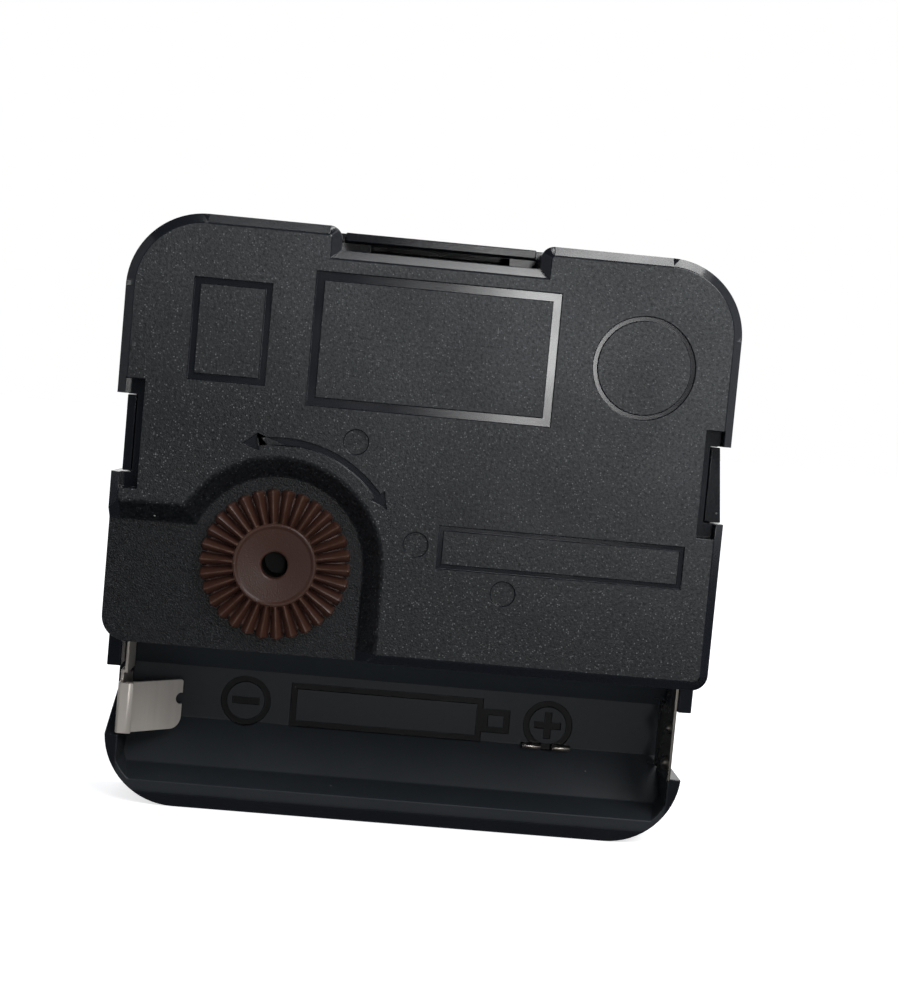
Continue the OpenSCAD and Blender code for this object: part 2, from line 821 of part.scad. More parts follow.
// Pressed-in lines on the back of the cover
logo_frame = [[-11, 11.7], [11.2, 23.8]];
small_frame = [[-21.8, 13.1], [-14.8, 22.3]];
long_frame = [[2, -2], [24.5, 1.95]];
logo_line = 0.8;
small_line = 0.6;
long_line = 0.45;
ring_at = [19.2, 17.8];
ring_r = 4.7;
ring_line = 0.45;
arrow_r = 11.3;
arrow_from = 39;
arrow_to = 102;
arrow_line = 0.6;
arrow_head = 1.5;
pillar_at = [8.3, -3.8];
pillar_r = 1.4;
mark_spot_r = 1.15;

module cover_relief_2d() {
    frame_2d(logo_frame[0], logo_frame[1], logo_line);
    frame_2d(small_frame[0], small_frame[1], small_line);
    frame_2d(long_frame[0], long_frame[1], long_line);
    translate(ring_at) ring_2d(ring_r, ring_line);
    for (at = [[0, 0], rotor_at, pillar_at]) translate(at) circle(mark_spot_r);
    translate(knob_at) {
        rotate(arrow_from) arc_2d(arrow_r, arrow_line, arrow_to - arrow_from);
        rotate(arrow_from) translate([arrow_r, 0]) head_2d(-1);
        rotate(arrow_to) translate([arrow_r, 0]) head_2d(1);
    }
}

// Part of a ring from angle 0 to angle a, with radius r in the middle of its line
module arc_2d(r, line, a) {
    far = 2 * r;
    intersection() {
        ring_2d(r + line / 2, line);
        polygon([[0, 0], [far, 0], [far * cos(a / 2), far * sin(a / 2)],
                 [far * cos(a), far * sin(a)]]);
    }
}

module head_2d(way) {
    polygon([[-arrow_head / 2, 0], [arrow_head / 2, 0], [0, way * arrow_head]]);
}

sleeve_t = 1;
sleeve_l = 1.4;

module back_cover() {
    color(grey) upright() difference() {
        union() {
            difference() {
                union() {
                    cover_block(sunk_z, [0, 1]);
                    difference() {
                        cover_block(body_t, [0, 1, 2]);
                        sunk_cut();
                    }
                }
                cover_hollow();
            }
            both_sides() clip_ledge();
            translate(knob_at) rod(knob_bore_r + sleeve_t, sunk_roof_z - sleeve_l, sunk_roof_z + eps);
            translate(rotor_at) rod(pillar_r, rotor_cap_z, roof_z + eps);
            translate(pillar_at) rod(pillar_r, stator_z + fit, roof_z + eps);
        }
        translate(knob_at) rod(knob_bore_r, seam_z, body_t);
        translate(rotor_at)
            rod(pivot_r + pivot_play, seam_z, rotor_cap_z + pivot_l + hole_spare);
        both_sides() clip_cuts();
        translate([0, 0, body_t - relief_d]) linear_extrude(1) cover_relief_2d();
    }
}

module middle_plate() {
    r = mid_corner;
    color(white) upright() translate([0, 0, mid_z]) linear_extrude(mid_t) difference() {
        plate_2d(mid_left, mid_low, mid_right, mid_top, [r, r, r, r]);
        for (at = [[0, 0], third_at, inter_at]) translate(at) circle(pivot_r + pivot_play);
        for (at = mid_posts) translate(at) circle(post_pin_r + fit);
        translate(rotor_at) circle(stator_r);
        translate(knob_at) circle(knob_bore_r);
    }
}

module threaded_bush() {
    crest_share = 0.3;
    crest = thread_p * crest_share;
    plain = 0.6;
    grooves = floor((bush_l - plain) / thread_p);
    color(brass) upright() difference() {
        union() {
            rotate_extrude() polygon(concat(
                [[0, 0], [0, -bush_l], [bush_d / 2, -bush_l]],
                [for (i = [grooves - 1 : -1 : 0])
                    each [[bush_d / 2, -(i + 1) * thread_p + crest / 2],
                          [bush_d / 2 - thread_d, -(i + 0.5) * thread_p],
                          [bush_d / 2, -i * thread_p - crest / 2]]],
                [[bush_d / 2, 0]]));
            rod(bush_neck_r, -eps, plate_t);
            rod(bush_flange_r, plate_t, plate_t + flange_t);
        }
        rod(bush_bore_r, -bush_l - 1, plate_t + flange_t + 1);
    }
}

// Setting knob: a thin disc with ribs that widen outwards, round a hub
head_gap = 0.25;
head_z = sunk_z + head_gap;
head_top = body_t - slack;
disc_t = 0.35;
disc_top = head_z + disc_t;
rib_drop = 0.15;
rib_top = head_top - rib_drop;
rib_tip = 0.4;
rib_root = 0.22;
disc_step = 0.55;
disc_r = knob_d / 2 - disc_step;
knob_hole_l = 4.6;
socket_l = 0.35;

module rib_2d() {
    start = hub_d / 2 - 2 * rib_root;
    tip_x = knob_d / 2 - rib_tip;
    polygon([[start, -rib_root], [tip_x, -rib_tip], [tip_x, rib_tip], [start, rib_root]]);
    translate([tip_x, 0]) circle(rib_tip, $fn = 24);
}

module setting_knob() {
    color(brown) upright() translate(knob_at) difference() {
        union() {
            rod(disc_r, head_z, disc_top);
            rod(hub_d / 2, head_z, head_top);
            translate([0, 0, head_z]) linear_extrude(rib_top - head_z)
                for (i = [0 : ribs - 1]) rotate(i * 360 / ribs) rib_2d();
        }
        rod(knob_hole_d / 2, head_z - 1, body_t);
        rod(knob_shaft_r + eps, head_z - 1, head_z + socket_l);
    }
}

// Shaft under the knob's head, with the setting pinion and a tail pivot
module setting_arbor() {
    pinion_low = motion_z - pinion_over;
    pinion_high = motion_z + wheel_t + pinion_over;
    color(brown) upright() translate(knob_at) difference() {
        union() {
            rod(knob_shaft_r, pinion_high, head_z + socket_l);
            pinion(knob_teeth, motion_m, knob_phase, pinion_low, pinion_high + eps);
            rod(knob_tail_r, knob_tail_z + slack, pinion_low + eps);
        }
        rod(knob_hole_d / 2, head_top - knob_hole_l, body_t);
    }
}

module motion_wheel() {
    color(white) upright() translate(motion_at) difference() {
        union() {
            wheel(motion_teeth, motion_m, 0, motion_z);
            pinion(motion_pinion, hour_m, 0, hour_z - pinion_over, motion_z + eps);
        }
        rod(stud_r + fit, 0, body_t);
    }
}

// Tube for the minute hand with two flats, and the cannon pinion at its foot
module minute_arbor() {
    color(brass) upright() difference() {
        union() {
            rod(minute_d / 2, minute_tip, motion_z - pinion_over + eps);
            pinion(cannon_teeth, motion_m, cannon_phase, motion_z - pinion_over,
                   motion_z + wheel_t + pinion_over);
            rod(hub_r, motion_z, cannon_top);
        }
        rod(cannon_bore_r, minute_tip - 1, body_t);
        both_sides() block([flats_w / 2, -minute_d, minute_tip - 1],
                           [minute_d, minute_d, minute_tip + flats_l]);
    }
}

// The hour hand's seat ends at a shoulder just outside the bush
module hour_wheel() {
    color(ivory) upright() difference() {
        union() {
            wheel(hour_teeth, hour_m, hour_phase, hour_z);
            rod(hour_d / 2, hour_tip, hour_z);
            rod(hour_d / 2 + shoulder, bush_tip - slack, hour_z + wheel_t);
        }
        rod(hour_bore_r, hour_tip - 1, body_t);
    }
}

module minute_wheel() {
    color(white) upright() difference() {
        wheel(minute_teeth, minute_m, 0, minute_z);
        rod(hub_r + fit / 2, 0, body_t);
    }
}

// Arbor with a thinner pivot at each end
module arbor(low) {
    rod(arbor_r, low, arbor_top);
    rod(pivot_r, low - pivot_l, pivot_top);
}

module third_wheel() {
    color(ivory) upright() translate(third_at) {
        wheel(third_teeth, third_m, 0, third_z);
        pinion(third_pinion, minute_m, third_pinion_phase, minute_z - pinion_over,
               third_z + eps);
        arbor(third_boss_z + slack);
    }
}

module seconds_wheel() {
    hub = 1.1;
    color(white) upright() difference() {
        union() {
            wheel(second_teeth, second_m, 0, second_z);
            pinion(second_pinion, third_m, second_pinion_phase, third_z - pinion_over,
                   second_z + eps);
            rod(hub, second_z, second_z + wheel_t + pinion_over);
        }
        rod(arbor_r + eps, 0, body_t);
    }
}

// Thickest inside the minute arbor, with the second hand's seat below it
module seconds_arbor() {
    color(steel) upright() {
        rod(second_d / 2, second_tip, 0);
        rod(second_d / 2 + shoulder, minute_tip - slack, cannon_top);
        rod(arbor_r, cannon_top - eps, arbor_top);
        rod(pivot_r, arbor_top - eps, pivot_top);
    }
}

module intermediate_wheel() {
    color(ivory) upright() translate(inter_at) {
        wheel(inter_teeth, rotor_m, 0, inter_z);
        pinion(inter_pinion, second_m, inter_pinion_phase, second_z - pinion_over,
               inter_z + eps);
        arbor(inter_boss_z + slack);
    }
}

module rotor_pinion() {
    cap = rotor_cap_z - slack;
    seat_r = 1.4;
    seat_t = 0.35;
    color(ivory) upright() translate(rotor_at) {
        pinion(rotor_teeth, rotor_m, rotor_phase, inter_z - pinion_over,
               inter_z + wheel_t + pinion_over);
        rod(arbor_r, rotor_boss_z + slack, cap);
        rod(pivot_r, rotor_boss_z + slack - pivot_l, cap + pivot_l);
        rod(seat_r, magnet_z - seat_t, magnet_z - eps);
    }
}

module rotor_magnet() {
    color(steel) upright() translate(rotor_at) difference() {
        rod(magnet_r, magnet_z, magnet_z + magnet_t);
        rod(arbor_r + eps, 0, body_t);
    }
}

module stator() {
    r = stator_edge;
    dent_r = 0.5;
    color(nickel) upright() translate([0, 0, stator_z]) linear_extrude(stator_t) difference() {
        union() {
            plate_2d(leg_left, stator_low, leg_right, stator_top, [r, r, 0, 0]);
            for (x = [leg_left, leg_right - leg_w]) translate([x, rotor_at.y])
                plate_2d(0, 0, leg_w, leg_top - rotor_at.y, [0, 0, r, r]);
        }
        translate(rotor_at) {
            circle(stator_r);
            for (a = [70, 250]) rotate(a) translate([stator_r, 0]) circle(dent_r);
        }
        for (at = stakes) translate(at) circle(stake_r + fit);
        translate(third_at) circle(arbor_r + post_pin_r);
    }
}

module coil_core() {
    r = stator_edge;
    color(nickel) upright() translate([0, 0, core_z]) linear_extrude(core_t) difference() {
        plate_2d(leg_left, coil_y - core_w / 2, leg_right, coil_y + core_w / 2, [r, r, r, r]);
        for (at = stakes) translate(at) circle(stake_r + fit);
    }
}

// Lays a rod or a tube along the coil's axis
module along_coil(left, right) {
    translate([left, coil_y, coil_z]) rotate([0, 90, 0]) linear_extrude(right - left) children();
}

module coil_bobbin() {
    left = coil_x - coil_l / 2;
    right = coil_x + coil_l / 2;
    color(white) upright() difference() {
        union() {
            along_coil(left, right) circle(bobbin_r);
            along_coil(left, left + bobbin_end) circle(coil_d / 2);
            along_coil(right - bobbin_end, right) circle(coil_d / 2);
        }
        along_coil(left - 1, right + 1)
            square([core_t + slack, core_w + slack], center = true);
    }
}

module coil_winding() {
    reach = coil_l / 2 - bobbin_end - winding_gap;
    color(copper) upright() along_coil(coil_x - reach, coil_x + reach)
        ring_2d(wound_r, wound_r - bobbin_r - winding_gap);
}

// Two wires from the coil's right end, over the stator's leg and down to the board
module coil_leads() {
    start_x = coil_x + coil_l / 2 - bobbin_end / 2;
    color(copper) upright() for (i = [0, 1]) {
        y = coil_y - lead_gap * i;
        z = coil_z + coil_d / 2 + lead_r + solder_t - lead_r * i;
        translate([start_x, y, z]) rotate([0, 90, 0]) rod(lead_r, 0, lead_x[i] - start_x);
        translate([lead_x[i], y, z]) sphere(lead_r, $fn = 24);
        translate([lead_x[i], y, z]) rotate([90, 0, 0]) rod(lead_r, 0, y - lead_end_y);
        translate([lead_x[i], lead_end_y, 0]) rod(lead_r, pad_z, z + lead_r / 2);
    }
}

module circuit_board() {
    r = board_corner;
    color(green) upright() translate([0, 0, board_z]) linear_extrude(board_t) difference() {
        plate_2d(board_left, board_low, board_right, board_top, [r, r, r, r]);
        for (at = board_posts) translate(at) circle(stud_r + fit);
    }
}

// Black resin drop over the chip, cut from a ball
module chip_cover() {
    ball_r = (pow(chip_r, 2) + pow(chip_h, 2)) / (2 * chip_h);
    color(black) upright() translate([chip_at.x, chip_at.y, board_top_z]) intersection() {
        translate([0, 0, chip_h - ball_r]) sphere(ball_r);
        rod(chip_r, 0, chip_h + 1);
    }
}

module quartz_crystal() {
    color(steel) upright() {
        translate([crystal_x, crystal_y, pad_z + crystal_d / 2]) rotate([-90, 0, 0])
            rod(crystal_d / 2, 0, crystal_l);
        for (side = [-1, 1])
            translate([crystal_x + side * 3 * crystal_lead_r, crystal_y,
                       pad_z + crystal_d / 2]) rotate([90, 0, 0])
                rod(crystal_lead_r, -eps, crystal_lead_l);
    }
}

// Plate with two domes, and its tail over the bay's back wall to the board
module positive_contact() {
    low = -bay_y - plus_w / 2;
    high = low + plus_w;
    right = plus_x + strip_t;
    pad_high = board_low + pad_l;
    color(nickel) upright() {
        block([plus_x, low, plus_low], [right, high, plus_top]);
        block([plus_x, high - eps, plus_tail_z], [right, pad_high, plus_top]);
        block([plus_x, pad_y, plus_tail_z], [right, pad_high, pad_z + strip_t]);
        block([board_right - pad_w, pad_y, pad_z], [right, pad_high, pad_z + strip_t]);
        for (side = [-1, 1])
            translate([plus_x + strip_t / 2, -bay_y + side * dome_gap / 2, dome_z])
                intersection() {
                    sphere(dome_r);
                    block([-dome_r, -dome_r, -dome_r], [0, dome_r, dome_r]);
                }
    }
}

// Fixed part of the negative contact, with the curl that the leaf turns in
module negative_contact() {
    pad_left = board_left + 0.6;
    tail_right = tail_x + strip_t;
    run_high = run_y + strip_t;
    color(nickel) upright() {
        translate([0, leaf_high, 0]) rotate([90, 0, 0]) linear_extrude(leaf_w) clip_section_2d();
        block([leg_x, leaf_high - eps, tail_low], [leg_x + strip_t, bend_y, tail_high]);
        block([leg_x, bend_y - strip_t, tail_low], [tail_right, bend_y, tail_high]);
        block([tail_x, bend_y - strip_t, tail_low], [tail_right, run_high, tail_high]);
        block([tail_x, bay_back_y - bay_wall / 2, tail_low], [tail_right, run_high, run_z + run_h]);
        block([tail_x, run_y, run_z], [pad_left + pad_w, run_high, run_z + run_h]);
        block([pad_left, run_y, pad_z], [pad_left + pad_w, board_low + pad_l, pad_z + strip_t]);
    }
}

// Section of the clip, with x across and y the height
module clip_section_2d() {
    top = fold_z + curl_r + strip_t;
    far = 2 * (curl_r + strip_t);
    plate_2d(leg_x, plate_t + hole_spare, leg_x + strip_t, top - strip_t, [0, 0, 0, 0]);
    difference() {
        plate_2d(leg_x, top - 2 * strip_t, fold_x, top, [0, 0, 0, strip_t]);
        translate([leg_x + strip_t, top - 2 * strip_t - 1])
            square([fold_x - leg_x, 1 + strip_t]);
    }
    translate([fold_x, fold_z]) intersection() {
        ring_2d(curl_r + strip_t, strip_t);
        polygon([[-eps, 0], [-eps, far], [far, far], [far, far * tan(curl_a)], [0, 0]]);
    }
}

// Spring leaf that the cell's flat end presses towards the side wall
module negative_leaf() {
    color(nickel) upright() translate([fold_x, leaf_low, fold_z]) rotate([0, leaf_a, 0])
        difference() {
            union() {
                rotate([-90, 0, 0]) rod(fold_r, 0, leaf_w);
                translate([0, 0, -strip_t / 2]) linear_extrude(strip_t)
                    plate_2d(0, 0, leaf_l, leaf_w, [0, leaf_corner, strip_t, 0]);
            }
            translate([leaf_l - bite_r / 3, bite_y, 0]) rod(bite_r, -1, 1);
        }
}

// Short bright tabs that come up through the bay's floor below the plus mark
module contact_tabs() {
    color(nickel) upright() for (x = tab_x)
        block([x, tab_y - tab_t / 2, plate_t - tab_root + fit],
              [x + tab_l, tab_y + tab_t / 2, plate_t + tab_h]);
}

front_case();
back_cover();
middle_plate();
threaded_bush();
setting_knob();
setting_arbor();
motion_wheel();
minute_arbor();
hour_wheel();
minute_wheel();
third_wheel();
seconds_wheel();
seconds_arbor();
intermediate_wheel();
rotor_pinion();
rotor_magnet();
stator();
coil_core();
coil_bobbin();
coil_winding();
coil_leads();
circuit_board();
chip_cover();
quartz_crystal();
positive_contact();
negative_contact();
negative_leaf();
contact_tabs();
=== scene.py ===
"""Looks of a quartz clock movement seen from its back cover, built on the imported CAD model."""

import math

import bmesh
import bpy
from mathutils import Matrix, Vector


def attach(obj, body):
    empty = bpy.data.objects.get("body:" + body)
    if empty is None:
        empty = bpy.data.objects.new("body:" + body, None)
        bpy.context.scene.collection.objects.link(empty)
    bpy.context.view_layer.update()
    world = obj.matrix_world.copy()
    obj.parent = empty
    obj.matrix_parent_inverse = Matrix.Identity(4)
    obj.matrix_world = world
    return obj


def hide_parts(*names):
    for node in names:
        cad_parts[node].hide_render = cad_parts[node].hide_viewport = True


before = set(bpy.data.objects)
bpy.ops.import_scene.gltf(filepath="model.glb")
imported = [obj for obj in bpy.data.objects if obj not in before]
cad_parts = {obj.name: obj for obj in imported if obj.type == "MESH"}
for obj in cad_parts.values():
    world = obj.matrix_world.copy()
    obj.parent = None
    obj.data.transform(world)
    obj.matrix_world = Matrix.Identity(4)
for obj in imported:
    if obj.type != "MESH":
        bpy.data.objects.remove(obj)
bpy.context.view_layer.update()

# New shapes are drawn lying down in millimetres, as in the CAD source: x across, y up the
# body and z the height above the dial seat. STAND turns that upright and into metres.
MM = 0.001
STAND = Matrix.Rotation(math.radians(90), 4, "X") @ Matrix.Scale(MM, 4)

# Driving sizes of the CAD source
HALF = 28.0  # half of the square body's width
CORNER = 7.0  # radius of the body's corners
COVER_TOP = 16.0  # height of the cover's raised face
LINE_FLOOR = 15.8  # height of the floor of the pressed-in lines
SUNK_TOP = 14.2  # height of the cover's sunken face
KNOB_AT = Vector((-12.597, -3.001, 0.0))  # middle of the setting knob
SUNK_R = 8.95  # radius of the sunken face round the knob
STEP_Y = 0.9  # upper edge of the sunken face left of the knob
SLOPE = 1.1  # how far the slope round the sunken face reaches to either side
COVER_LOW = -11.3  # lower edge of the cover, above the battery bay
PIN_MARKS = ((0.0, 0.0), (-6.178, 8.795), (8.3, -3.8))  # middles of the round ejector marks


# Placing nodes


def add(tree, kind, inputs=None, **settings):
    """Places a node. An input is a plain value or another node's output."""
    node = tree.nodes.new(kind)
    for key, value in settings.items():
        setattr(node, key, value)
    for key, value in (inputs or {}).items():
        if isinstance(value, bpy.types.NodeSocket):
            tree.links.new(value, node.inputs[key])
        else:
            node.inputs[key].default_value = value
    return node


def feed(tree, ends, **sources):
    """Links outputs to the end sockets of those names; underscores stand for spaces."""
    for key, source in sources.items():
        tree.links.new(source, ends[key.replace("_", " ")])


def maths(tree, operation, a, b=0.0, clamp=False):
    return add(tree, "ShaderNodeMath", {0: a, 1: b}, operation=operation, use_clamp=clamp).outputs[0]


def times(tree, first, *others):
    for other in others:
        first = maths(tree, "MULTIPLY", first, other)
    return first


def plus(tree, a, b):
    return maths(tree, "ADD", a, b)


def minus(tree, a, b):
    return maths(tree, "SUBTRACT", a, b)


def over(tree, a, b):
    return maths(tree, "DIVIDE", a, b)


def larger(tree, a, b):
    return maths(tree, "MAXIMUM", a, b)


def hypotenuse(tree, a, b):
    return maths(tree, "SQRT", plus(tree, times(tree, a, a), times(tree, b, b)))


def powered(tree, value, exponent):
    """Value raised to an exponent with its sign kept."""
    size = maths(tree, "POWER", maths(tree, "ABSOLUTE", value), exponent)
    return times(tree, size, maths(tree, "SIGN", value))


def fade(tree, value, low, high, start=0.0, end=1.0):
    """Start where value is at low or beyond it, end at high, and even in between."""
    sockets = {"Value": value, "From Min": low, "From Max": high, "To Min": start, "To Max": end}
    return add(tree, "ShaderNodeMapRange", sockets).outputs[0]


def blend(tree, share, first, second):
    """Colour that goes from first to second as share goes from 0 to 1."""
    return add(tree, "ShaderNodeMix", {0: share, 6: first, 7: second}, data_type="RGBA").outputs[2]


def rgb(red, green, blue):
    return (red, green, blue, 1.0)


def grey(level):
    return rgb(level, level, level)


def darker(colour, factor):
    return rgb(*(factor * part for part in colour[:3]))


def place(tree):
    """Where a point is on the upright movement, in metres."""
    return add(tree, "ShaderNodeTexCoord").outputs["Object"]


def stretched(tree, vector, x, y, z):
    return add(tree, "ShaderNodeVectorMath", {0: vector, 1: (x, y, z)}, operation="MULTIPLY").outputs[0]


def scaled(tree, vector, factor):
    return add(tree, "ShaderNodeVectorMath", {0: vector, "Scale": factor}, operation="SCALE").outputs[0]


def in_units(tree, unit):
    """Where a point is on the upright movement, counted in a length in metres."""
    return scaled(tree, place(tree), over(tree, 1.0, unit))


def xyz(tree, vector):
    return add(tree, "ShaderNodeSeparateXYZ", {0: vector}).outputs


def from_xyz(tree, x, y=0.0, z=0.0):
    return add(tree, "ShaderNodeCombineXYZ", {0: x, 1: y, 2: z}).outputs[0]


def lying(tree):
    """A point of the movement as the CAD source draws it: x, y and height in millimetres."""
    x, depth, y = xyz(tree, scaled(tree, place(tree), 1 / MM))
    return x, y, times(tree, depth, -1.0)


def within(tree, middle, reach):
    """1 where a point is nearer than reach to a middle, seen along the hand shafts."""
    x, y, _ = lying(tree)
    ends = {0: from_xyz(tree, x, y), 1: (middle[0], middle[1], 0.0)}
    far = add(tree, "ShaderNodeVectorMath", ends, operation="DISTANCE").outputs["Value"]
    return maths(tree, "LESS_THAN", far, reach)


def noise(tree, vector, scale, detail, roughness=0.5):
    sockets = {"Vector": vector, "Scale": scale, "Detail": detail, "Roughness": roughness}
    return add(tree, "ShaderNodeTexNoise", sockets).outputs[0]


def cells_of(tree, vector, scale):
    """Random cells: distance to the nearest middle, and the parts of each cell's own colour."""
    cells = add(tree, "ShaderNodeTexVoronoi", {"Vector": vector, "Scale": scale}).outputs
    return cells["Distance"], add(tree, "ShaderNodeSeparateColor", {0: cells["Color"]}).outputs


def group(name, inputs, outputs):
    """Empty shader group with named float sockets, and its two end nodes."""
    tree = bpy.data.node_groups.new(name, "ShaderNodeTree")
    for title, value in inputs.items():
        socket = tree.interface.new_socket(title, in_out="INPUT", socket_type="NodeSocketFloat")
        socket.default_value = value
    for title in outputs:
        tree.interface.new_socket(title, in_out="OUTPUT", socket_type="NodeSocketFloat")
    return tree, tree.nodes.new("NodeGroupInput").outputs, tree.nodes.new("NodeGroupOutput").inputs


def use(tree, shared, **values):
    """A shared group placed in a material with its own values; underscores stand for spaces."""
    node = add(tree, "ShaderNodeGroup", node_tree=shared)
    for key, value in values.items():
        node.inputs[key.replace("_", " ")].default_value = value
    return node.outputs


# Shared effects, with their sizes in metres


def make_spark_grain():
    """Fine eroded texture of the mould: its height, its blotches, and a mask of tiny facets where glints are
    painted into the colour.
    """
    tree, given, out = group("spark_grain", {"Grain Size": 0.00025}, ["Height", "Blotch", "Glint"])
    where = in_units(tree, given["Grain Size"])
    distance, chances = cells_of(tree, where, 1.3)
    height = minus(tree, noise(tree, where, 0.9, 3.0, 0.65), times(tree, distance, 0.45))
    blotch = fade(tree, noise(tree, where, 0.7, 2.0, 0.7), 0.3, 0.7)
    painted_glint = times(tree, fade(tree, chances[0], 0.8, 1.0), fade(tree, distance, 0.5, 0.2))
    feed(tree, out, Height=height, Blotch=blotch, Glint=painted_glint)
    return tree


def make_handling():
    """Faint smears and hairline scratches from handling."""
    tree, given, out = group("handling", {"Smear Size": 0.008, "Scratch Size": 0.0002},
                             ["Smear", "Scratch"])
    patches = noise(tree, in_units(tree, given["Smear Size"]), 1.0, 4.0, 0.6)
    fine = in_units(tree, given["Scratch Size"])
    lines = larger(tree, noise(tree, stretched(tree, fine, 1.0, 0.3, 0.03), 1.0, 1.0),
                   noise(tree, stretched(tree, fine, 0.06, 0.3, 0.8), 1.0, 1.0))
    scratch = times(tree, fade(tree, lines, 0.66, 0.72), fade(tree, patches, 0.5, 0.6))
    feed(tree, out, Smear=fade(tree, patches, 0.42, 0.68), Scratch=scratch)
    return tree


def make_edge_wear():
    """Share of wear along the piece's outer edges, broken up by noise."""
    tree, given, out = group("edge_wear", {"Width": 0.0003, "Patch Size": 0.0015}, ["Wear"])
    spread = add(tree, "ShaderNodeBevel", {"Radius": given["Width"]}, samples=4).outputs[0]
    flat = add(tree, "ShaderNodeNewGeometry").outputs["Normal"]
    same = add(tree, "ShaderNodeVectorMath", {0: spread, 1: flat}, operation="DOT_PRODUCT")
    edge = fade(tree, same.outputs["Value"], 0.995, 0.8)
    patches = noise(tree, in_units(tree, given["Patch Size"]), 1.0, 3.0)
    feed(tree, out, Wear=times(tree, edge, fade(tree, patches, 0.35, 0.6)))
    return tree


def make_dust():
    """Sparse specks of dust."""
    tree, given, out = group("dust", {"Spacing": 0.002, "Speck Size": 0.00012}, ["Dust"])
    distance, chances = cells_of(tree, in_units(tree, given["Spacing"]), 1.0)
    reach = times(tree, over(tree, given["Speck Size"], given["Spacing"]), chances[1])
    near = maths(tree, "LESS_THAN", distance, reach)
    feed(tree, out, Dust=times(tree, near, fade(tree, chances[1], 0.4, 0.5)))
    return tree


def make_turned():
    """Fine rings left by turning about the hand shafts' axis, on walls and on ends."""
    tree, given, out = group("turned", {"Pitch": 0.00008}, ["Height", "Tone"])
    across, along, up = xyz(tree, place(tree))
    travel = over(tree, plus(tree, hypotenuse(tree, across, up), along), given["Pitch"])
    line = from_xyz(tree, travel)
    feed(tree, out, Height=noise(tree, line, 1.0, 2.0), Tone=noise(tree, line, 0.13, 1.0))
    return tree


def make_drawn():
    """Long fine lines of rolled or drawn metal, along Z where Lean is 0 and along X at 1."""
    tree, given, out = group("drawn", {"Line Width": 0.00006, "Lean": 0.0}, ["Height", "Tone"])
    fine = in_units(tree, given["Line Width"])
    ends = {0: given["Lean"], 4: stretched(tree, fine, 1.0, 1.0, 0.02),
            5: stretched(tree, fine, 0.02, 1.0, 1.0)}
    line = add(tree, "ShaderNodeMix", ends, data_type="VECTOR").outputs[1]
    feed(tree, out, Height=noise(tree, line, 1.0, 2.0), Tone=noise(tree, line, 0.1, 2.0))
    return tree


SPARK_GRAIN = make_spark_grain()
HANDLING = make_handling()
EDGE_WEAR = make_edge_wear()
DUST = make_dust()
TURNED = make_turned()
DRAWN = make_drawn()


# Finishes

DUST_COLOUR = rgb(0.5, 0.5, 0.48)


def finish(name, **fixed):
    """New material with its shader; fixed values go straight on the shader's sockets."""
    material = bpy.data.materials.new(name)
    material.use_nodes = True
    tree = material.node_tree
    shader = tree.nodes["Principled BSDF"]
    for key, value in fixed.items():
        shader.inputs[key.replace("_", " ")].default_value = value
    return material, tree, shader.inputs


def bump(tree, height, depth):
    return add(tree, "ShaderNodeBump", {"Height": height, "Distance": depth}).outputs[0]


def plastic(name, colour, worn, gloss, grain_size, grain_depth, dust):
    """Moulded plastic: even colour with smears, a fine skin, paler worn edges and some dust."""
    material, tree, shader = finish(name, Specular_IOR_Level=0.4)
    grain = use(tree, SPARK_GRAIN, Grain_Size=grain_size)
    hands = use(tree, HANDLING)
    wear = use(tree, EDGE_WEAR)["Wear"]
    specks = use(tree, DUST)["Dust"]
    toned = blend(tree, times(tree, hands["Smear"], 0.35), colour, darker(colour, 0.72))
    edged = blend(tree, times(tree, wear, 0.6), toned, worn)
    dusty = blend(tree, times(tree, specks, dust), edged, DUST_COLOUR)
    rough = plus(tree, gloss, times(tree, hands["Smear"], 0.1))
    rough = plus(tree, rough, times(tree, hands["Scratch"], 0.12))
    rough = plus(tree, rough, times(tree, specks, 0.4))
    feed(tree, shader, Base_Color=dusty, Roughness=rough,
         Normal=bump(tree, grain["Height"], grain_depth))
    return material


def cover_masks(tree):
    """Where the cover is grainy, and where it is dimmed: its sunken face round the knob and, as painted
    shade, the slope down to it.
    """
    x, y, height = lying(tree)
    facing = xyz(tree, add(tree, "ShaderNodeTexCoord").outputs["Normal"])[1]
    level = fade(tree, facing, -0.97, -0.995)
    raised = fade(tree, height, COVER_TOP - 0.14, COVER_TOP - 0.06)
    for mark in PIN_MARKS:
        raised = larger(tree, raised, within(tree, mark, 1.08))
    sunken = times(tree, fade(tree, height, SUNK_TOP - 0.08, SUNK_TOP - 0.02),
                   fade(tree, height, SUNK_TOP + 0.1, SUNK_TOP + 0.04))
    grainy = times(tree, level, larger(tree, raised, sunken))
    beside = times(tree, fade(tree, x, -2.4, -2.65), fade(tree, x, 0.9 - HALF, 1.0 - HALF))
    beside = times(tree, beside, times(tree, fade(tree, y, STEP_Y + 1.4, STEP_Y + 1.2),
                                       fade(tree, y, COVER_LOW + 0.9, COVER_LOW + 1.0)))
    slope = times(tree, larger(tree, beside, within(tree, KNOB_AT, 10.0)),
                  fade(tree, height, SUNK_TOP - 0.08, SUNK_TOP))
    # Painted shade: the walls of the slope down to the sunken face are dimmed with it.
    painted_shade_slope = times(tree, slope, fade(tree, height, COVER_TOP - 0.1, COVER_TOP - 0.3))
    return larger(tree, grainy, slope), larger(tree, sunken, painted_shade_slope)


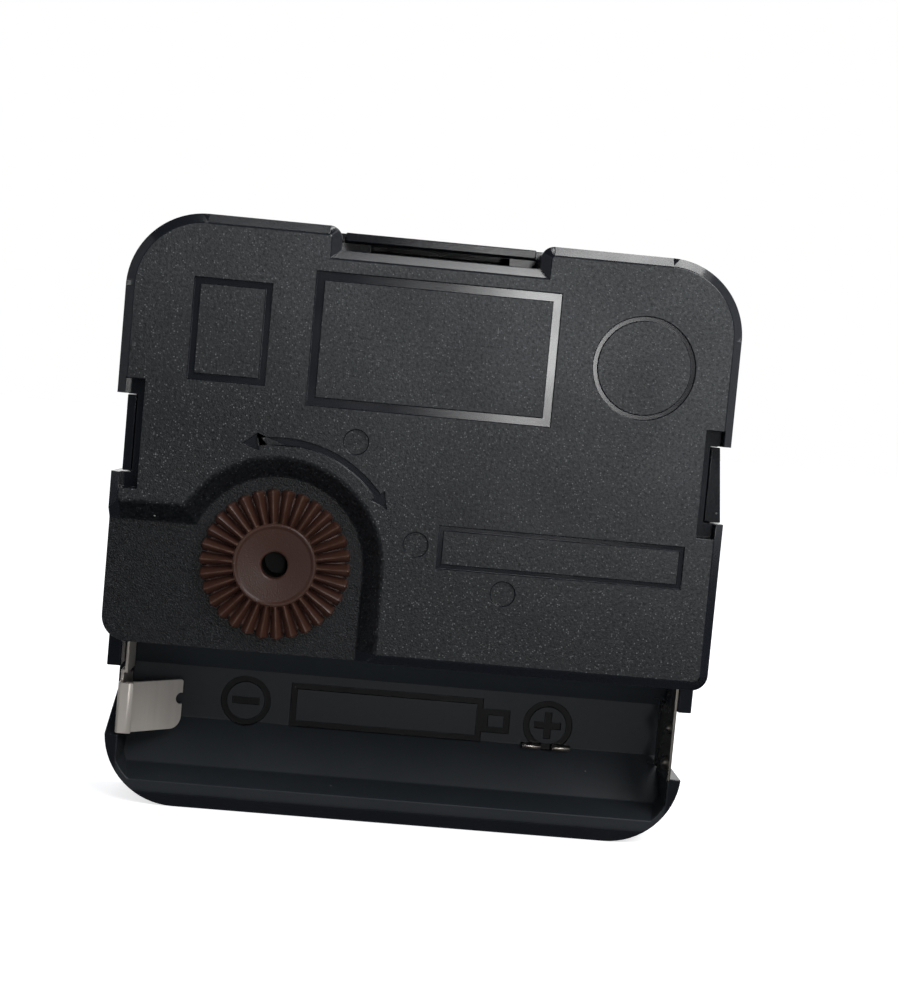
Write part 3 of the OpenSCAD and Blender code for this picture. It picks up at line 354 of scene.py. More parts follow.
def cover_plastic():
    """Charcoal cover: eroded grain on its flat faces, smooth on its edges and pressed-in lines, with painted
    glints and a painted pool of light towards the upper right.
    """
    material, tree, shader = finish("cover_plastic", Specular_IOR_Level=0.45)
    grain = use(tree, SPARK_GRAIN, Grain_Size=0.0002)
    smear = use(tree, HANDLING, Smear_Size=0.011)["Smear"]
    wear = use(tree, EDGE_WEAR, Width=0.00025)["Wear"]
    specks = use(tree, DUST, Spacing=0.0035)["Dust"]
    grainy, sunken = cover_masks(tree)
    smooth = blend(tree, times(tree, wear, 0.4), rgb(0.010, 0.0115, 0.015), rgb(0.05, 0.052, 0.056))

    # Painted light: the grain is painted paler towards the upper right corner, as a pool of light from
    # there, and darker towards the lower left. It is dim on the sunken face.
    x, y, _ = lying(tree)
    aslant = plus(tree, times(tree, x, 0.45), times(tree, y, 0.9))
    painted_light_share = fade(tree, aslant, -1.0, 26.0)
    pale = blend(tree, painted_light_share, rgb(0.023, 0.0255, 0.0275), rgb(0.075, 0.080, 0.085))
    deep = blend(tree, painted_light_share, rgb(0.005, 0.006, 0.007), rgb(0.020, 0.022, 0.024))
    clean = blend(tree, grain["Blotch"], deep, pale)
    dim = blend(tree, grain["Blotch"], rgb(0.0025, 0.003, 0.004), rgb(0.011, 0.0125, 0.0148))
    # Smears and the sunken face take the dim tone, and so does the slope down to it as painted shade.
    face = blend(tree, larger(tree, times(tree, smear, 0.3), sunken), clean, dim)
    # Painted highlights: tiny facets of the grain are painted as pale glints, fewer on the sunken face.
    painted_glint = times(tree, grain["Glint"], fade(tree, sunken, 0.0, 1.0, 0.9, 0.25))
    with_painted_glints = blend(tree, painted_glint, face, rgb(0.17, 0.178, 0.18))

    colour = blend(tree, grainy, smooth, with_painted_glints)
    rough = plus(tree, fade(tree, grainy, 0.0, 1.0, 0.14, 0.4), times(tree, smear, 0.06))
    feed(tree, shader, Base_Color=blend(tree, times(tree, specks, 0.5), colour, DUST_COLOUR),
         Roughness=rough, Normal=bump(tree, times(tree, grain["Height"], grainy), 0.00004))
    return material


def case_plastic():
    """Black case: smooth walls, and in the battery bay a paler, duller skin with dark marks."""
    material, tree, shader = finish("case_plastic", Specular_IOR_Level=0.4)
    grain = use(tree, SPARK_GRAIN, Grain_Size=0.0004)
    smear = use(tree, HANDLING)["Smear"]
    wear = use(tree, EDGE_WEAR)["Wear"]
    specks = use(tree, DUST)["Dust"]

    x, y, height = lying(tree)
    wall = (HALF - 1.1, HALF - 1.5)  # where the bay's skin ends inside the outer walls
    bay = times(tree, fade(tree, y, COVER_LOW + 1.3, COVER_LOW + 0.5),
                fade(tree, height, 8.8, 7.8))
    bay = times(tree, bay, maths(tree, "GREATER_THAN", height, 0.8))
    bay = times(tree, bay, times(tree, fade(tree, times(tree, y, -1.0), *wall),
                                 fade(tree, maths(tree, "ABSOLUTE", x), *wall)))
    marks = times(tree, bay, fade(tree, height, 1.18, 1.12))
    # Painted light: the trough's lower facet is painted a little paler than the floor, for the light its
    # slope catches.
    painted_lit_facet = fade(tree, y, -19.5, -22.5)

    bay_skin = blend(tree, painted_lit_facet, rgb(0.020, 0.0245, 0.029), rgb(0.022, 0.0265, 0.0315))
    bay_skin = blend(tree, times(tree, grain["Blotch"], 0.25), bay_skin, rgb(0.013, 0.015, 0.018))
    toned = blend(tree, times(tree, smear, 0.35), rgb(0.0085, 0.0098, 0.0125), rgb(0.006, 0.007, 0.009))
    toned = blend(tree, bay, toned, bay_skin)
    toned = blend(tree, marks, toned, rgb(0.003, 0.0033, 0.0036))
    edged = blend(tree, times(tree, wear, 0.6), toned, rgb(0.03, 0.032, 0.038))
    rough = plus(tree, fade(tree, bay, 0.0, 1.0, 0.15, 0.42), times(tree, smear, 0.1))
    feed(tree, shader, Base_Color=blend(tree, times(tree, specks, 0.2), edged, DUST_COLOUR),
         Roughness=plus(tree, rough, times(tree, specks, 0.4)),
         Normal=bump(tree, grain["Height"], 0.000004))
    return material


def turned_lines(tree):
    return use(tree, TURNED)


def drawn_lines(tree):
    return use(tree, DRAWN)


def level_lines(tree):
    return use(tree, DRAWN, Lean=1.0)


def metal(name, colour, tarnish, gloss, lines, depth, bare=1.0):
    """Bare or plated metal with the fine lines of its making and a little tarnish."""
    material, tree, shader = finish(name, Metallic=bare)
    made = lines(tree)
    smear = use(tree, HANDLING, Smear_Size=0.004)["Smear"]
    toned = blend(tree, made["Tone"], colour, darker(colour, 0.86))
    feed(tree, shader, Base_Color=blend(tree, times(tree, smear, 0.5), toned, tarnish),
         Roughness=plus(tree, gloss, times(tree, smear, 0.12)),
         Normal=bump(tree, made["Height"], depth))
    return material


def copper_wire():
    """Enamelled wire wound round the coil's axis, which runs along X."""
    material, tree, shader = finish("copper_wire", Metallic=1.0, Coat_Roughness=0.1)
    turns = times(tree, xyz(tree, place(tree))[0], 42000.0)
    ridge = maths(tree, "ABSOLUTE", maths(tree, "SINE", turns))
    tint = noise(tree, scaled(tree, place(tree), 900.0), 1.0, 3.0)
    feed(tree, shader, Base_Color=blend(tree, tint, rgb(0.62, 0.26, 0.11), rgb(0.78, 0.38, 0.18)),
         Roughness=fade(tree, ridge, 0.0, 1.0, 0.5, 0.25), Coat_Weight=times(tree, tint, 0.6),
         Normal=bump(tree, ridge, 0.00003))
    return material


def circuit_board():
    """Green board: solder mask over woven glass, with tracks that show through it."""
    material, tree, shader = finish("circuit_board")
    where = place(tree)
    weave = times(tree, noise(tree, stretched(tree, where, 3000.0, 1.0, 300.0), 1.0, 1.0),
                  noise(tree, stretched(tree, where, 300.0, 1.0, 3000.0), 1.0, 1.0))
    flat = add(tree, "ShaderNodeMapping", {0: where, 2: (math.radians(90), 0.0, 0.0)}).outputs[0]
    sockets = {"Vector": flat, "Scale": 260.0, "Mortar Size": 0.06}
    tracks = add(tree, "ShaderNodeTexBrick", sockets).outputs[1]
    mask = blend(tree, weave, rgb(0.02, 0.13, 0.06), rgb(0.04, 0.22, 0.1))
    feed(tree, shader, Base_Color=blend(tree, times(tree, tracks, 0.6), mask, rgb(0.10, 0.36, 0.16)),
         Roughness=fade(tree, weave, 0.2, 0.5, 0.3, 0.42),
         Normal=bump(tree, plus(tree, weave, tracks), 0.00001))
    return material


def resin_drop():
    """Black cast resin, glossy with a faint ripple."""
    material, tree, shader = finish("resin_drop", Specular_IOR_Level=0.5)
    ripple = noise(tree, scaled(tree, place(tree), 700.0), 1.0, 2.0)
    feed(tree, shader, Base_Color=blend(tree, ripple, grey(0.006), rgb(0.016, 0.015, 0.014)),
         Roughness=fade(tree, ripple, 0.3, 0.7, 0.14, 0.3), Normal=bump(tree, ripple, 0.00005))
    return material


FINISHES = {
    "cover_plastic": cover_plastic(),
    "case_plastic": case_plastic(),
    "brown_plastic": plastic("brown_plastic", rgb(0.043, 0.018, 0.0125), rgb(0.17, 0.10, 0.075),
                             gloss=0.3, grain_size=0.00016, grain_depth=0.000012, dust=0.4),
    "dark_plastic": plastic("dark_plastic", rgb(0.004, 0.0035, 0.0025), rgb(0.02, 0.015, 0.01),
                            gloss=0.6, grain_size=0.0003, grain_depth=0.00001, dust=0.2),
    "white_plastic": plastic("white_plastic", rgb(0.80, 0.80, 0.77), rgb(0.88, 0.88, 0.86),
                             gloss=0.35, grain_size=0.0005, grain_depth=0.000008, dust=0.1),
    "ivory_plastic": plastic("ivory_plastic", rgb(0.70, 0.66, 0.54), rgb(0.82, 0.79, 0.70),
                             gloss=0.33, grain_size=0.0005, grain_depth=0.000008, dust=0.1),
    "brass": metal("brass", rgb(0.80, 0.60, 0.28), rgb(0.52, 0.36, 0.16), gloss=0.2,
                   lines=turned_lines, depth=0.000004),
    "steel": metal("steel", rgb(0.62, 0.62, 0.63), rgb(0.42, 0.41, 0.40), gloss=0.18,
                   lines=turned_lines, depth=0.000003),
    "iron_sheet": metal("iron_sheet", rgb(0.52, 0.51, 0.49), rgb(0.30, 0.28, 0.26), gloss=0.34,
                        lines=level_lines, depth=0.000005),
    "nickel": metal("nickel", rgb(0.60, 0.565, 0.51), rgb(0.40, 0.36, 0.30), gloss=0.26,
                    lines=drawn_lines, depth=0.000004),
    "satin_nickel": metal("satin_nickel", rgb(0.86, 0.80, 0.73), rgb(0.74, 0.68, 0.60), gloss=0.4,
                          lines=drawn_lines, depth=0.000003, bare=0.7),
    "magnet": metal("magnet", rgb(0.26, 0.26, 0.27), grey(0.14), gloss=0.45,
                    lines=turned_lines, depth=0.00001),
    "copper": copper_wire(),
    "board": circuit_board(),
    "resin": resin_drop(),
}

NODE_FINISH = {
    "front_case": "case_plastic",
    "back_cover": "cover_plastic",
    "middle_plate": "white_plastic",
    "threaded_bush": "brass",
    "setting_knob": "brown_plastic",
    "setting_arbor": "dark_plastic",
    "motion_wheel": "white_plastic",
    "minute_arbor": "brass",
    "hour_wheel": "ivory_plastic",
    "minute_wheel": "white_plastic",
    "third_wheel": "ivory_plastic",
    "seconds_wheel": "white_plastic",
    "seconds_arbor": "steel",
    "intermediate_wheel": "ivory_plastic",
    "rotor_pinion": "ivory_plastic",
    "rotor_magnet": "magnet",
    "stator": "iron_sheet",
    "coil_core": "iron_sheet",
    "coil_bobbin": "white_plastic",
    "coil_winding": "copper",
    "coil_leads": "copper",
    "circuit_board": "board",
    "chip_cover": "resin",
    "quartz_crystal": "steel",
    "positive_contact": "nickel",
    "negative_contact": "satin_nickel",
    "negative_leaf": "satin_nickel",
    "contact_tabs": "nickel",
}
for node, finish_name in NODE_FINISH.items():
    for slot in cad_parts[node].material_slots:
        slot.material = FINISHES[finish_name]


# Making pieces


def shown(name, mesh):
    piece = bpy.data.objects.new(name, mesh)
    bpy.context.scene.collection.objects.link(piece)
    return piece


def mesh_of(form, name):
    """Plain mesh from a bmesh, which is used up."""
    mesh = bpy.data.meshes.new(name)
    form.to_mesh(mesh)
    form.free()
    return mesh


def applied(piece, name):
    """The piece with its modifiers worked into a plain mesh."""
    graph = bpy.context.evaluated_depsgraph_get()
    mesh = bpy.data.meshes.new_from_object(piece.evaluated_get(graph), preserve_all_data_layers=True,
                                           depsgraph=graph)
    bpy.data.objects.remove(piece)
    mesh.name = name
    return shown(name, mesh)


def stand_in(piece, body, node):
    """Puts the node's finish on a piece and lets it stand for the node."""
    finish_name = NODE_FINISH[node]
    piece.data.materials.clear()
    piece.data.materials.append(FINISHES[finish_name])
    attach(piece, body)
    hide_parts(node)


def smoothed(mesh, angle):
    """Shades the mesh smooth, with edges sharper than angle degrees left sharp."""
    mesh.polygons.foreach_set("use_smooth", [True] * len(mesh.polygons))
    mesh.set_sharp_from_angle(angle=math.radians(angle))


def flat_areas(form):
    """The faces in lists, one for each area of neighbours that look the same way."""
    left = set(form.faces)
    areas = []
    while left:
        area, waiting = [], [left.pop()]
        while waiting:
            face = waiting.pop()
            area.append(face)
            for edge in face.edges:
                for other in edge.link_faces:
                    if other in left and other.normal.dot(face.normal) > 0.99999:
                        left.remove(other)
                        waiting.append(other)
        areas.append(area)
    return areas


def refill_flats(mesh):
    """Fills each flat area anew from its outline and its holes."""
    form = bmesh.new()
    form.from_mesh(mesh)
    form.normal_update()
    for area in flat_areas(form):
        facing = sum((face.normal * face.calc_area() for face in area), Vector())
        plain = len(area) == 1 and len(area[0].verts) < 5
        if plain or facing.length == 0:
            continue
        own = set(area)
        rim = dict.fromkeys(edge for face in area for edge in face.edges
                            if sum(other in own for other in edge.link_faces) == 1)
        bmesh.ops.delete(form, geom=area, context="FACES_ONLY")
        made = bmesh.ops.triangle_fill(form, use_beauty=True, edges=list(rim), normal=facing.normalized())
        for face in made["geom"]:
            if isinstance(face, bmesh.types.BMFace):
                face.normal_update()
                if face.normal.dot(facing) < 0:
                    face.normal_flip()
    bmesh.ops.delete(form, geom=[edge for edge in form.edges if not edge.link_faces], context="EDGES")
    bmesh.ops.holes_fill(form, edges=[edge for edge in form.edges if len(edge.link_faces) == 1], sides=12)
    form.to_mesh(mesh)
    form.free()


def even_normals(mesh):
    """Gives each wide flat one normal, and the walls at the body's round corners round ones."""
    wide = 1.5  # least area of a wide flat, in square millimetres
    wall = 1.05  # how far inside the outline a point still counts as on the corner's wall
    lay = STAND.inverted()
    turn = STAND.to_3x3().normalized()
    areas = {}
    keys = []
    for face in mesh.polygons:
        normal, middle = face.normal, face.center / MM
        key = tuple(round(value, 2) for value in (*normal, normal.dot(middle)))
        keys.append(key)
        areas[key] = areas.get(key, 0.0) + face.area / MM ** 2
    given = [corner.vector.copy() for corner in mesh.corner_normals]
    for face, key in zip(mesh.polygons, keys):
        facing = (lay.to_3x3() @ face.normal).normalized()
        level = Vector((facing.x, facing.y, 0.0))
        for corner in face.loop_indices:
            if areas[key] > wide:
                given[corner] = face.normal.copy()
            spot = lay @ mesh.vertices[mesh.loops[corner].vertex_index].co
            past = Vector([max(abs(value) - HALF + CORNER, 0.0) for value in (spot.x, spot.y)] + [0.0])
            at_corner = min(past.x, past.y) > 0.01 and CORNER - past.length < wall
            if at_corner and level.length > 0.3:
                signed = [math.copysign(length, value) for length, value in zip(past, spot)]
                out = Vector(signed).normalized()
                if level.normalized().dot(out) > 0.97:
                    given[corner] = turn @ (out * level.length + Vector((0.0, 0.0, facing.z)))
    mesh.normals_split_custom_set(given)


def softened(node, name, radius_at, sharp=32.0):
    """A copy of a CAD node with its edges rounded. radius_at gives an edge's radius in
    millimetres from its middle, drawn lying; 0 leaves the edge sharp."""
    form = bmesh.new()
    form.from_mesh(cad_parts[node].data)
    bmesh.ops.remove_doubles(form, verts=form.verts[:], dist=2e-6)
    bmesh.ops.dissolve_limit(form, angle_limit=math.radians(0.3), verts=form.verts[:], edges=form.edges[:])
    lay = STAND.inverted()
    weight = form.edges.layers.float.new("bevel_weight_edge")
    widest = 0.5
    for edge in form.edges:
        if len(edge.link_faces) == 2 and edge.calc_face_angle(0.0) > math.radians(sharp):
            first, last = (lay @ v.co for v in edge.verts)
            edge[weight] = radius_at((first + last) / 2) / widest
    mesh = mesh_of(form, name)
    smoothed(mesh, 40)
    piece = shown(name + "_draft", mesh)
    rounding = piece.modifiers.new("rounding", "BEVEL")
    rounding.limit_method = "WEIGHT"
    rounding.width = widest * MM
    rounding.segments = 2
    rounding.use_clamp_overlap = False
    piece = applied(piece, name + "_rounded")
    refill_flats(piece.data)
    smoothed(piece.data, 40)
    even = piece.modifiers.new("even", "WEIGHTED_NORMAL")
    even.keep_sharp = True
    piece = applied(piece, name)
    even_normals(piece.data)
    return piece


def lathe(profile):
    """Ring-shaped solid of revolution from (radius, height) points that go round its section."""
    segments = 96
    turns = [2 * math.pi * i / segments for i in range(segments)]
    form = bmesh.new()
    rings = []
    for radius, height in profile:
        rings.append([form.verts.new((radius * math.cos(a), radius * math.sin(a), height)) for a in turns])
    for ring, following in zip(rings, rings[1:] + rings[:1]):
        for i in range(segments):
            j = (i + 1) % segments
            form.faces.new((ring[i], ring[j], following[j], following[i]))
    bmesh.ops.recalc_face_normals(form, faces=form.faces[:])
    return form


def round_corner(centre, radius, start, end):
    """Points of an arc in a section, from angle start to end in degrees."""
    steps = 4
    turns = [math.radians(start + (end - start) * i / steps) for i in range(steps + 1)]
    return [(centre[0] + radius * math.cos(a), centre[1] + radius * math.sin(a)) for a in turns]


# Cover and case


def on_outline(spot, inset):
    """Whether a point lies within inset of the square body's rounded outline."""
    across, up = HALF - abs(spot.x), HALF - abs(spot.y)
    if across < CORNER and up < CORNER:
        return CORNER - math.hypot(CORNER - across, CORNER - up) < inset
    return min(across, up) < inset


def on_slope(spot):
    """Whether a point lies on the upper or lower edge of the slope round the knob."""
    around = math.hypot(spot.x - KNOB_AT.x, spot.y - KNOB_AT.y)
    if spot.x < KNOB_AT.x and abs(spot.y - STEP_Y) < SLOPE:
        return True
    if spot.y < KNOB_AT.y:
        return abs(spot.x - KNOB_AT.x - SUNK_R) < SLOPE
    return abs(around - SUNK_R) < SLOPE


def in_notch(spot):
    """Whether a point lies on the walls of the hanger notch."""
    return abs(spot.x) < 10.2 and spot.y > HALF - 3.1 and spot.z > 9.6


def cover_radius(spot):
    """Radius of the cover's edge with its middle at spot."""
    outer = on_outline(spot, 0.95) or spot.y < COVER_LOW + 1.0
    if abs(spot.z - LINE_FLOOR) < 0.05:
        return 0.05
    if outer and spot.z > COVER_TOP - 0.1 or in_notch(spot):
        return 0.1
    if outer or spot.z <= SUNK_TOP - 0.1:
        return 0.0
    return 0.16 if on_slope(spot) else 0.05


def case_radius(spot):
    """Radius of the case's edge with its middle at spot."""
    at_marks = spot.z < 1.25 and not on_outline(spot, 0.2)
    if at_marks:
        return 0.05 if spot.z > 0.95 else 0.0
    if on_outline(spot, 0.1) and spot.z < 0.05:
        return 0.3
    return 0.1 if on_outline(spot, 1.2) or spot.y < -10 else 0.06


stand_in(softened("front_case", "case_shell", case_radius), "case", "front_case")
stand_in(softened("back_cover", "cover_shell", cover_radius), "case", "back_cover")


# Pieces grown by geometry nodes


def tree_of(name, inputs):
    """Geometry tree with a geometry socket and named number sockets, and its end nodes."""
    tree = bpy.data.node_groups.new(name, "GeometryNodeTree")
    tree.interface.new_socket("Geometry", in_out="INPUT", socket_type="NodeSocketGeometry")
    for title, value in inputs.items():
        kind = "NodeSocketInt" if isinstance(value, int) else "NodeSocketFloat"
        tree.interface.new_socket(title, in_out="INPUT", socket_type=kind)
    tree.interface.new_socket("Finish", in_out="INPUT", socket_type="NodeSocketMaterial")
    tree.interface.new_socket("Geometry", in_out="OUTPUT", socket_type="NodeSocketGeometry")
    return tree, tree.nodes.new("NodeGroupInput").outputs, tree.nodes.new("NodeGroupOutput").inputs


def painted(tree, geometry, material):
    """The last two steps of a tree: instances made real, and the finish set."""
    real = add(tree, "GeometryNodeRealizeInstances", {"Geometry": geometry}).outputs[0]
    return add(tree, "GeometryNodeSetMaterial", {"Geometry": real, "Material": material}).outputs[0]


def grown(piece, tree, inputs, material, name):
    """The piece after a geometry tree, with the tree's inputs set by identifier."""
    step = piece.modifiers.new("grow", "NODES")
    step.node_group = tree
    named = {item.name: item.identifier for item in tree.interface.items_tree
             if item.item_type == "SOCKET" and item.in_out == "INPUT"}
    for title, value in inputs.items():
        step[named[title]] = value
    step[named["Finish"]] = material
    return applied(piece, name)


# Setting knob: hub and disc by lathe, ribs by geometry nodes

KNOB_BASE = 14.45
KNOB_DISC_TOP = 14.8


def knob_hub():
    """Disc and hub of the knob with the bore through them."""
    bore, socket, hub, disc = 1.2, 1.97, 3.8, 6.35
    face, lip = 15.79, 15.9
    bevel, lip_round, bore_round = 0.1, 0.18, 0.2
    profile = [(socket, KNOB_BASE), (disc - bevel, KNOB_BASE), (disc, KNOB_BASE + bevel)]
    profile += [(disc, KNOB_DISC_TOP - bevel), (disc - bevel, KNOB_DISC_TOP), (hub + 0.18, KNOB_DISC_TOP)]
    profile += [(hub + 0.04, KNOB_DISC_TOP + 0.07), (hub, KNOB_DISC_TOP + 0.2), (hub, lip - 0.3)]
    profile += round_corner((hub - lip_round, lip - lip_round), lip_round, 0, 90)
    profile += [(hub - 0.3, lip - 0.02), (hub - 0.38, lip - 0.07), (hub - 0.44, lip - 0.1)]
    profile += [(hub - 0.52, face), (bore + 0.36, face), (bore + 0.28, face - 0.01)]
    profile += round_corner((bore + bore_round, face - 0.01 - bore_round), bore_round, 90, 180)
    profile += [(bore, face - 0.39), (bore, KNOB_DISC_TOP), (socket, KNOB_DISC_TOP)]
    return lathe(profile)


def rib_tree(inputs):
    """One rib drawn on a grid, widening outwards to a rounded tip, then set round the hub."""
    tree, given, out = tree_of("knob_ribs", inputs)
    sockets = {"Size X": 1.0, "Size Y": 1.0, "Vertices X": 26, "Vertices Y": 25}
    sheet = add(tree, "GeometryNodeMeshGrid", sockets).outputs[0]
    spot = xyz(tree, add(tree, "GeometryNodeInputPosition").outputs[0])
    run = plus(tree, spot[0], 0.5)
    turn = times(tree, spot[1], 2 * math.pi)
    inside = times(tree, maths(tree, "GREATER_THAN", run, 0.001), maths(tree, "LESS_THAN", run, 0.999))

    # How far out the rib's section stands, how wide it is there, and how the tip is rounded
    share = maths(tree, "SINE", times(tree, run, math.pi / 2))
    length = minus(tree, given["Tip Radius"], given["Root Radius"])
    radius = plus(tree, given["Root Radius"], times(tree, share, length))
    widen = times(tree, share, minus(tree, given["Tip Width"], given["Root Width"]))
    width = plus(tree, given["Root Width"], widen)
    past = minus(tree, radius, minus(tree, given["Tip Radius"], given["Tip Round"]))
    near = larger(tree, over(tree, past, given["Tip Round"]), 0.0)
    dome = maths(tree, "SQRT", maths(tree, "SUBTRACT", 1.0, times(tree, near, near), True))

    # The section: powers over 1 make its crest slim, and one under 1 makes its foot square
    side_power, crest_power, foot_power = 1.5, 1.7, 0.25
    side = times(tree, powered(tree, maths(tree, "COSINE", turn), side_power),
                 times(tree, width, dome, inside))
    wave = maths(tree, "SINE", turn)
    lowered = minus(tree, 1.0, times(tree, minus(tree, 1.0, dome), 0.45))
    upper = times(tree, larger(tree, powered(tree, wave, crest_power), 0.0), lowered)
    upper = times(tree, upper, minus(tree, given["Top"], given["Foot"]))
    lower = maths(tree, "MINIMUM", powered(tree, wave, foot_power), 0.0)
    lower = times(tree, lower, minus(tree, given["Foot"], given["Base"]))
    rise = times(tree, plus(tree, upper, lower), inside)
    shape = from_xyz(tree, radius, side, plus(tree, given["Foot"], rise))
    shaped = add(tree, "GeometryNodeSetPosition", {"Geometry": sheet, "Position": shape}).outputs[0]
    closed = add(tree, "GeometryNodeMergeByDistance", {"Geometry": shaped, "Distance": 0.001}).outputs[0]

    spots = add(tree, "GeometryNodePoints", {"Count": given["Count"]}).outputs[0]
    order = add(tree, "GeometryNodeInputIndex").outputs[0]
    sockets = {"Axis": (0.0, 0.0, 1.0), "Angle": over(tree, times(tree, order, 2 * math.pi), given["Count"])}
    around = add(tree, "FunctionNodeAxisAngleToRotation", sockets).outputs[0]
    sockets = {"Points": spots, "Instance": closed, "Rotation": around}
    ribs = add(tree, "GeometryNodeInstanceOnPoints", sockets).outputs[0]
    joined = tree.nodes.new("GeometryNodeJoinGeometry")
    tree.links.new(given["Geometry"], joined.inputs[0])
    tree.links.new(ribs, joined.inputs[0])
    feed(tree, out, Geometry=painted(tree, joined.outputs[0], given["Finish"]))
    return tree


def knob_head():
    """The knob's hub and disc with the ribs round them, in one piece."""
    sizes = {"Count": 30, "Root Radius": 3.55, "Tip Radius": 6.9, "Root Width": 0.42, "Tip Width": 0.64,
             "Tip Round": 0.3, "Base": KNOB_BASE, "Foot": KNOB_DISC_TOP - 0.05, "Top": 15.75}
    hub = shown("knob_hub", mesh_of(knob_hub(), "knob_hub"))
    piece = grown(hub, rib_tree(sizes), sizes, FINISHES["brown_plastic"], "knob_head")
    form = bmesh.new()
    form.from_mesh(piece.data)
    bmesh.ops.recalc_face_normals(form, faces=form.faces[:])
    form.to_mesh(piece.data)
    form.free()
    piece.data.transform(STAND @ Matrix.Translation(KNOB_AT))
    smoothed(piece.data, 40)
    return piece


stand_in(knob_head(), "knob", "setting_knob")


# Threaded bush: a plain ring by lathe, its thread cut by geometry nodes


def thread_tree(inputs):
    """Cuts a helical groove into the points that lie at the crest radius."""
    tree, given, out = tree_of("bush_thread", inputs)
    x, y, z = xyz(tree, add(tree, "GeometryNodeInputPosition").outputs[0])
    radius = hypotenuse(tree, x, y)
    turn = over(tree, maths(tree, "ARCTAN2", y, x), 2 * math.pi)
    phase = maths(tree, "FRACT", plus(tree, over(tree, z, given["Pitch"]), turn))
    slant = maths(tree, "ABSOLUTE", minus(tree, times(tree, phase, 2.0), 1.0))
    groove = fade(tree, slant, 0.14, 0.9)

    # The groove runs out before the bush's end and before its shoulder
    tip = times(tree, given["Length"], -1.0)
    start = fade(tree, z, tip, plus(tree, tip, given["Run-in"]))
    end = fade(tree, z, -0.15, -0.6)
    depth = times(tree, times(tree, groove, given["Depth"]), times(tree, start, end))
    factor = over(tree, minus(tree, radius, depth), radius)
    moved = from_xyz(tree, times(tree, x, factor), times(tree, y, factor), z)
    at_crest = maths(tree, "GREATER_THAN", radius, minus(tree, given["Crest Radius"], 0.01))
    below = maths(tree, "LESS_THAN", z, -0.01)
    cuttable = times(tree, at_crest, below)
    sockets = {"Geometry": given["Geometry"], "Selection": cuttable, "Position": moved}
    cut = add(tree, "GeometryNodeSetPosition", sockets).outputs[0]
    feed(tree, out, Geometry=painted(tree, cut, given["Finish"]))
    return tree


def threaded_bush():
    """Bush with a flange inside the case, a neck in the dial plate and an M8 thread outside."""
    crest, bore, neck, flange = 4.0, 2.75, 4.3, 5.3
    length, plate, head = 6.0, 1.2, 1.8
    run_in, bevel, rings = 0.5, 0.1, 96
    profile = [(bore, -length + 0.15), (bore + 0.15, -length), (crest - run_in, -length)]
    profile += [(crest - 0.02, -length + run_in - 0.05)]
    profile += [(crest, -length + run_in + (length - run_in) * i / rings) for i in range(rings + 1)]
    profile += [(neck, 0.0), (neck, plate), (flange, plate), (flange, head - bevel)]
    profile += [(flange - bevel, head), (bore + bevel, head), (bore, head - bevel)]
    sizes = {"Pitch": 0.75, "Depth": 0.4, "Length": length, "Crest Radius": crest, "Run-in": run_in}
    ring = shown("bush_ring", mesh_of(lathe(profile), "bush_ring"))
    piece = grown(ring, thread_tree(sizes), sizes, FINISHES["brass"], "bush_threaded")
    piece.data.transform(STAND)
    smoothed(piece.data, 30)
    return piece


stand_in(threaded_bush(), "case", "threaded_bush")


# Contacts and hand shafts with softened edges


def thin_edge(spot):
    """Every edge of a thin strip or tab is rounded alike."""
    return 0.05


def shaft_edge(spot):
    """Only the part of a shaft that stands out on the dial side is rounded."""
    return 0.05 if spot.z < 0 else 0.0


for node, name, body, radius_at in (
        ("positive_contact", "positive_plate", "case", thin_edge),
        ("negative_contact", "negative_strip", "case", thin_edge),
        ("negative_leaf", "spring_leaf", "leaf", thin_edge),
        ("contact_tabs", "bright_tabs", "case", thin_edge),
        ("hour_wheel", "hour_tube_wheel", "hour_shaft", shaft_edge),
        ("minute_arbor", "minute_tube", "minute_shaft", shaft_edge),
        ("seconds_arbor", "seconds_pin", "second_shaft", shaft_edge)):
    stand_in(softened(node, name, radius_at, sharp=50.0), body, node)


# Camera, fitted to the outline, the knob and the frames in the photograph

bpy.context.scene.view_settings.view_transform = "Standard"
camera = bpy.data.objects.new("camera", bpy.data.cameras.new("camera"))
bpy.context.scene.collection.objects.link(camera)
bpy.context.scene.camera = camera
camera.location = (-0.00288, -0.15489, 0.01267)
camera.rotation_euler = [math.radians(a) for a in (86.667, -5.22, -1.967)]
camera.data.lens = 55.65
camera.data.clip_start = 0.01


# Stage: white surround, pale floor, and cards that only show in what shines


def seen_rays(tree):
    """1 for rays from the camera, off gloss or through glass."""
    path = add(tree, "ShaderNodeLightPath").outputs
    direct = larger(tree, path["Is Camera Ray"], path["Is Glossy Ray"])
    return larger(tree, direct, path["Is Transmission Ray"])


world = bpy.data.worlds.new("studio")
bpy.context.scene.world = world
world.use_nodes = True
sky = world.node_tree
feed(sky, sky.nodes["Background"].inputs,
     Color=blend(sky, seen_rays(sky), rgb(0.42, 0.43, 0.45), grey(1.0)))


def card(name, centre, across, up, material, glossy_only=False):
    """Flat stage piece of two half-widths about its centre, in metres. One that is glossy_only
    stands unseen round the movement and shows only in what shines."""
    form = bmesh.new()
    across, up, centre = Vector(across), Vector(up), Vector(centre)
    form.faces.new([form.verts.new(centre + a * across + b * up)
                    for a, b in ((-1, -1), (1, -1), (1, 1), (-1, 1))])
    mesh = mesh_of(form, name)
    mesh.materials.append(material)
    piece = shown(name, mesh)
    if glossy_only:
        piece.visible_camera = False
        piece.visible_diffuse = False
        piece.visible_transmission = False
        piece.visible_shadow = False


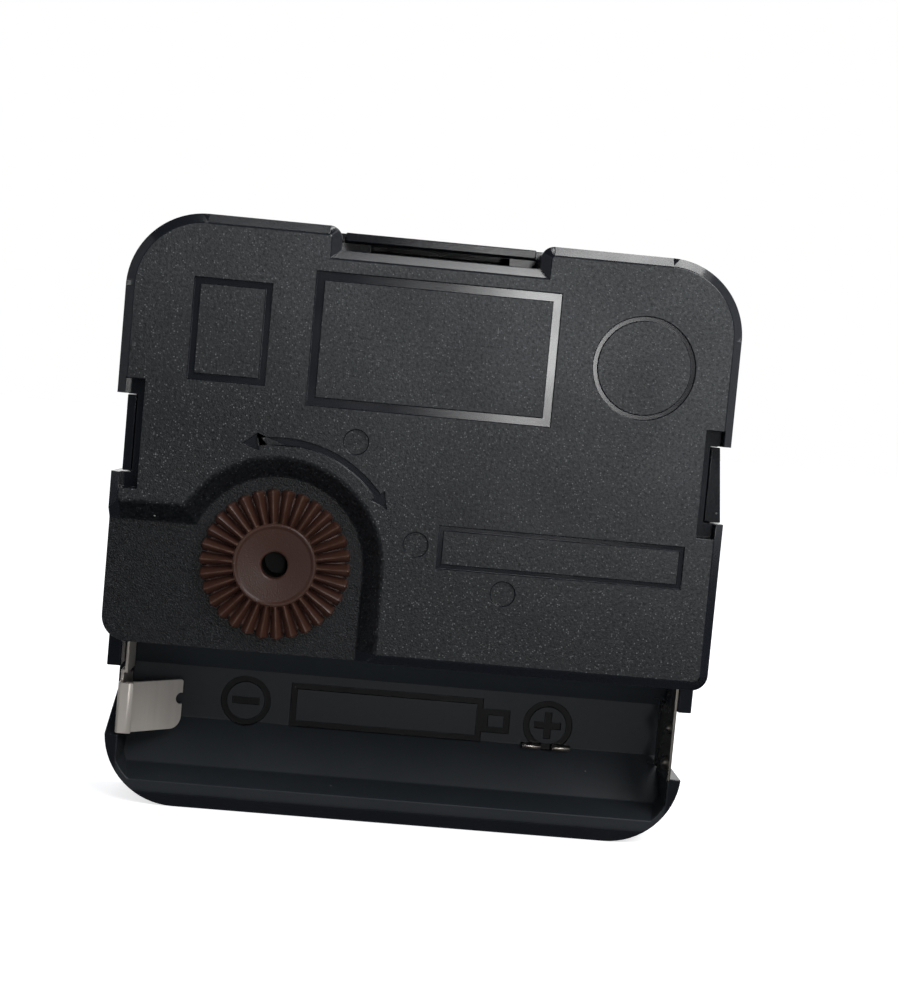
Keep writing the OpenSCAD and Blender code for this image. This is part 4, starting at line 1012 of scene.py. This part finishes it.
def pale_floor():
    """Matt white floor that glows a little, so that only the movement's shadow darkens it."""
    material, tree, shader = finish("pale_floor", Roughness=0.9, Specular_IOR_Level=0.1,
                                    Emission_Strength=1.0)
    mottle = noise(tree, scaled(tree, place(tree), 30.0), 1.0, 2.0)
    feed(tree, shader, Base_Color=blend(tree, mottle, grey(0.80), grey(0.84)),
         Emission_Color=blend(tree, seen_rays(tree), grey(0.0), grey(0.68)))
    return material


def felt(name, shade):
    """Matt card of one grey with a faint weave."""
    material, tree, shader = finish(name, Roughness=1.0, Specular_IOR_Level=0.0)
    weft = noise(tree, scaled(tree, place(tree), 400.0), 1.0, 2.0)
    feed(tree, shader, Base_Color=blend(tree, weft, grey(0.8 * shade), grey(1.2 * shade)))
    return material


FLOOR_Z = -HALF * MM - 0.00003
card("floor", (0, 0, FLOOR_Z), (2, 0, 0), (0, 2, 0), pale_floor())
black_felt = felt("black_felt", 0.006)
for name, centre, across, up, material in (
        ("front_card", (0, -0.9, 0.1), (2.4, 0, 0), (0, 0, 1.2), black_felt),
        ("top_card", (-0.4, -0.1, 0.75), (0.8, 0, 0), (0, 0.8, 0), black_felt),
        ("low_card", (0, -0.4, FLOOR_Z + 0.00001), (0.8, 0, 0), (0, 0.5, 0), black_felt),
        ("right_card", (0.9, -0.1, 0.1), (0, 0.8, 0), (0, 0, 1.0), felt("pale_felt", 0.75)),
        ("left_card", (-0.9, -0.1, 0.1), (0, 0.8, 0), (0, 0, 1.0), felt("grey_felt", 0.4))):
    card(name, centre, across, up, material, glossy_only=True)


# Lamps, in metres and watts


def lamp(name, place_at, width, height, power):
    """Soft rectangular lamp aimed at the movement."""
    data = bpy.data.lights.new(name, "AREA")
    data.shape = "RECTANGLE"
    data.size, data.size_y, data.energy = width, height, power
    light = bpy.data.objects.new(name, data)
    bpy.context.scene.collection.objects.link(light)
    light.location = place_at
    light.rotation_euler = (-Vector(place_at)).to_track_quat("-Z", "Y").to_euler()


lamp("window", (0.065, -0.6, 0.055), width=0.045, height=0.12, power=0.35)
lamp("softbox", (0.35, -0.45, 0.5), width=0.4, height=0.4, power=3.0)
lamp("strip", (0.065, 0.02, 0.42), width=0.03, height=0.4, power=0.4)
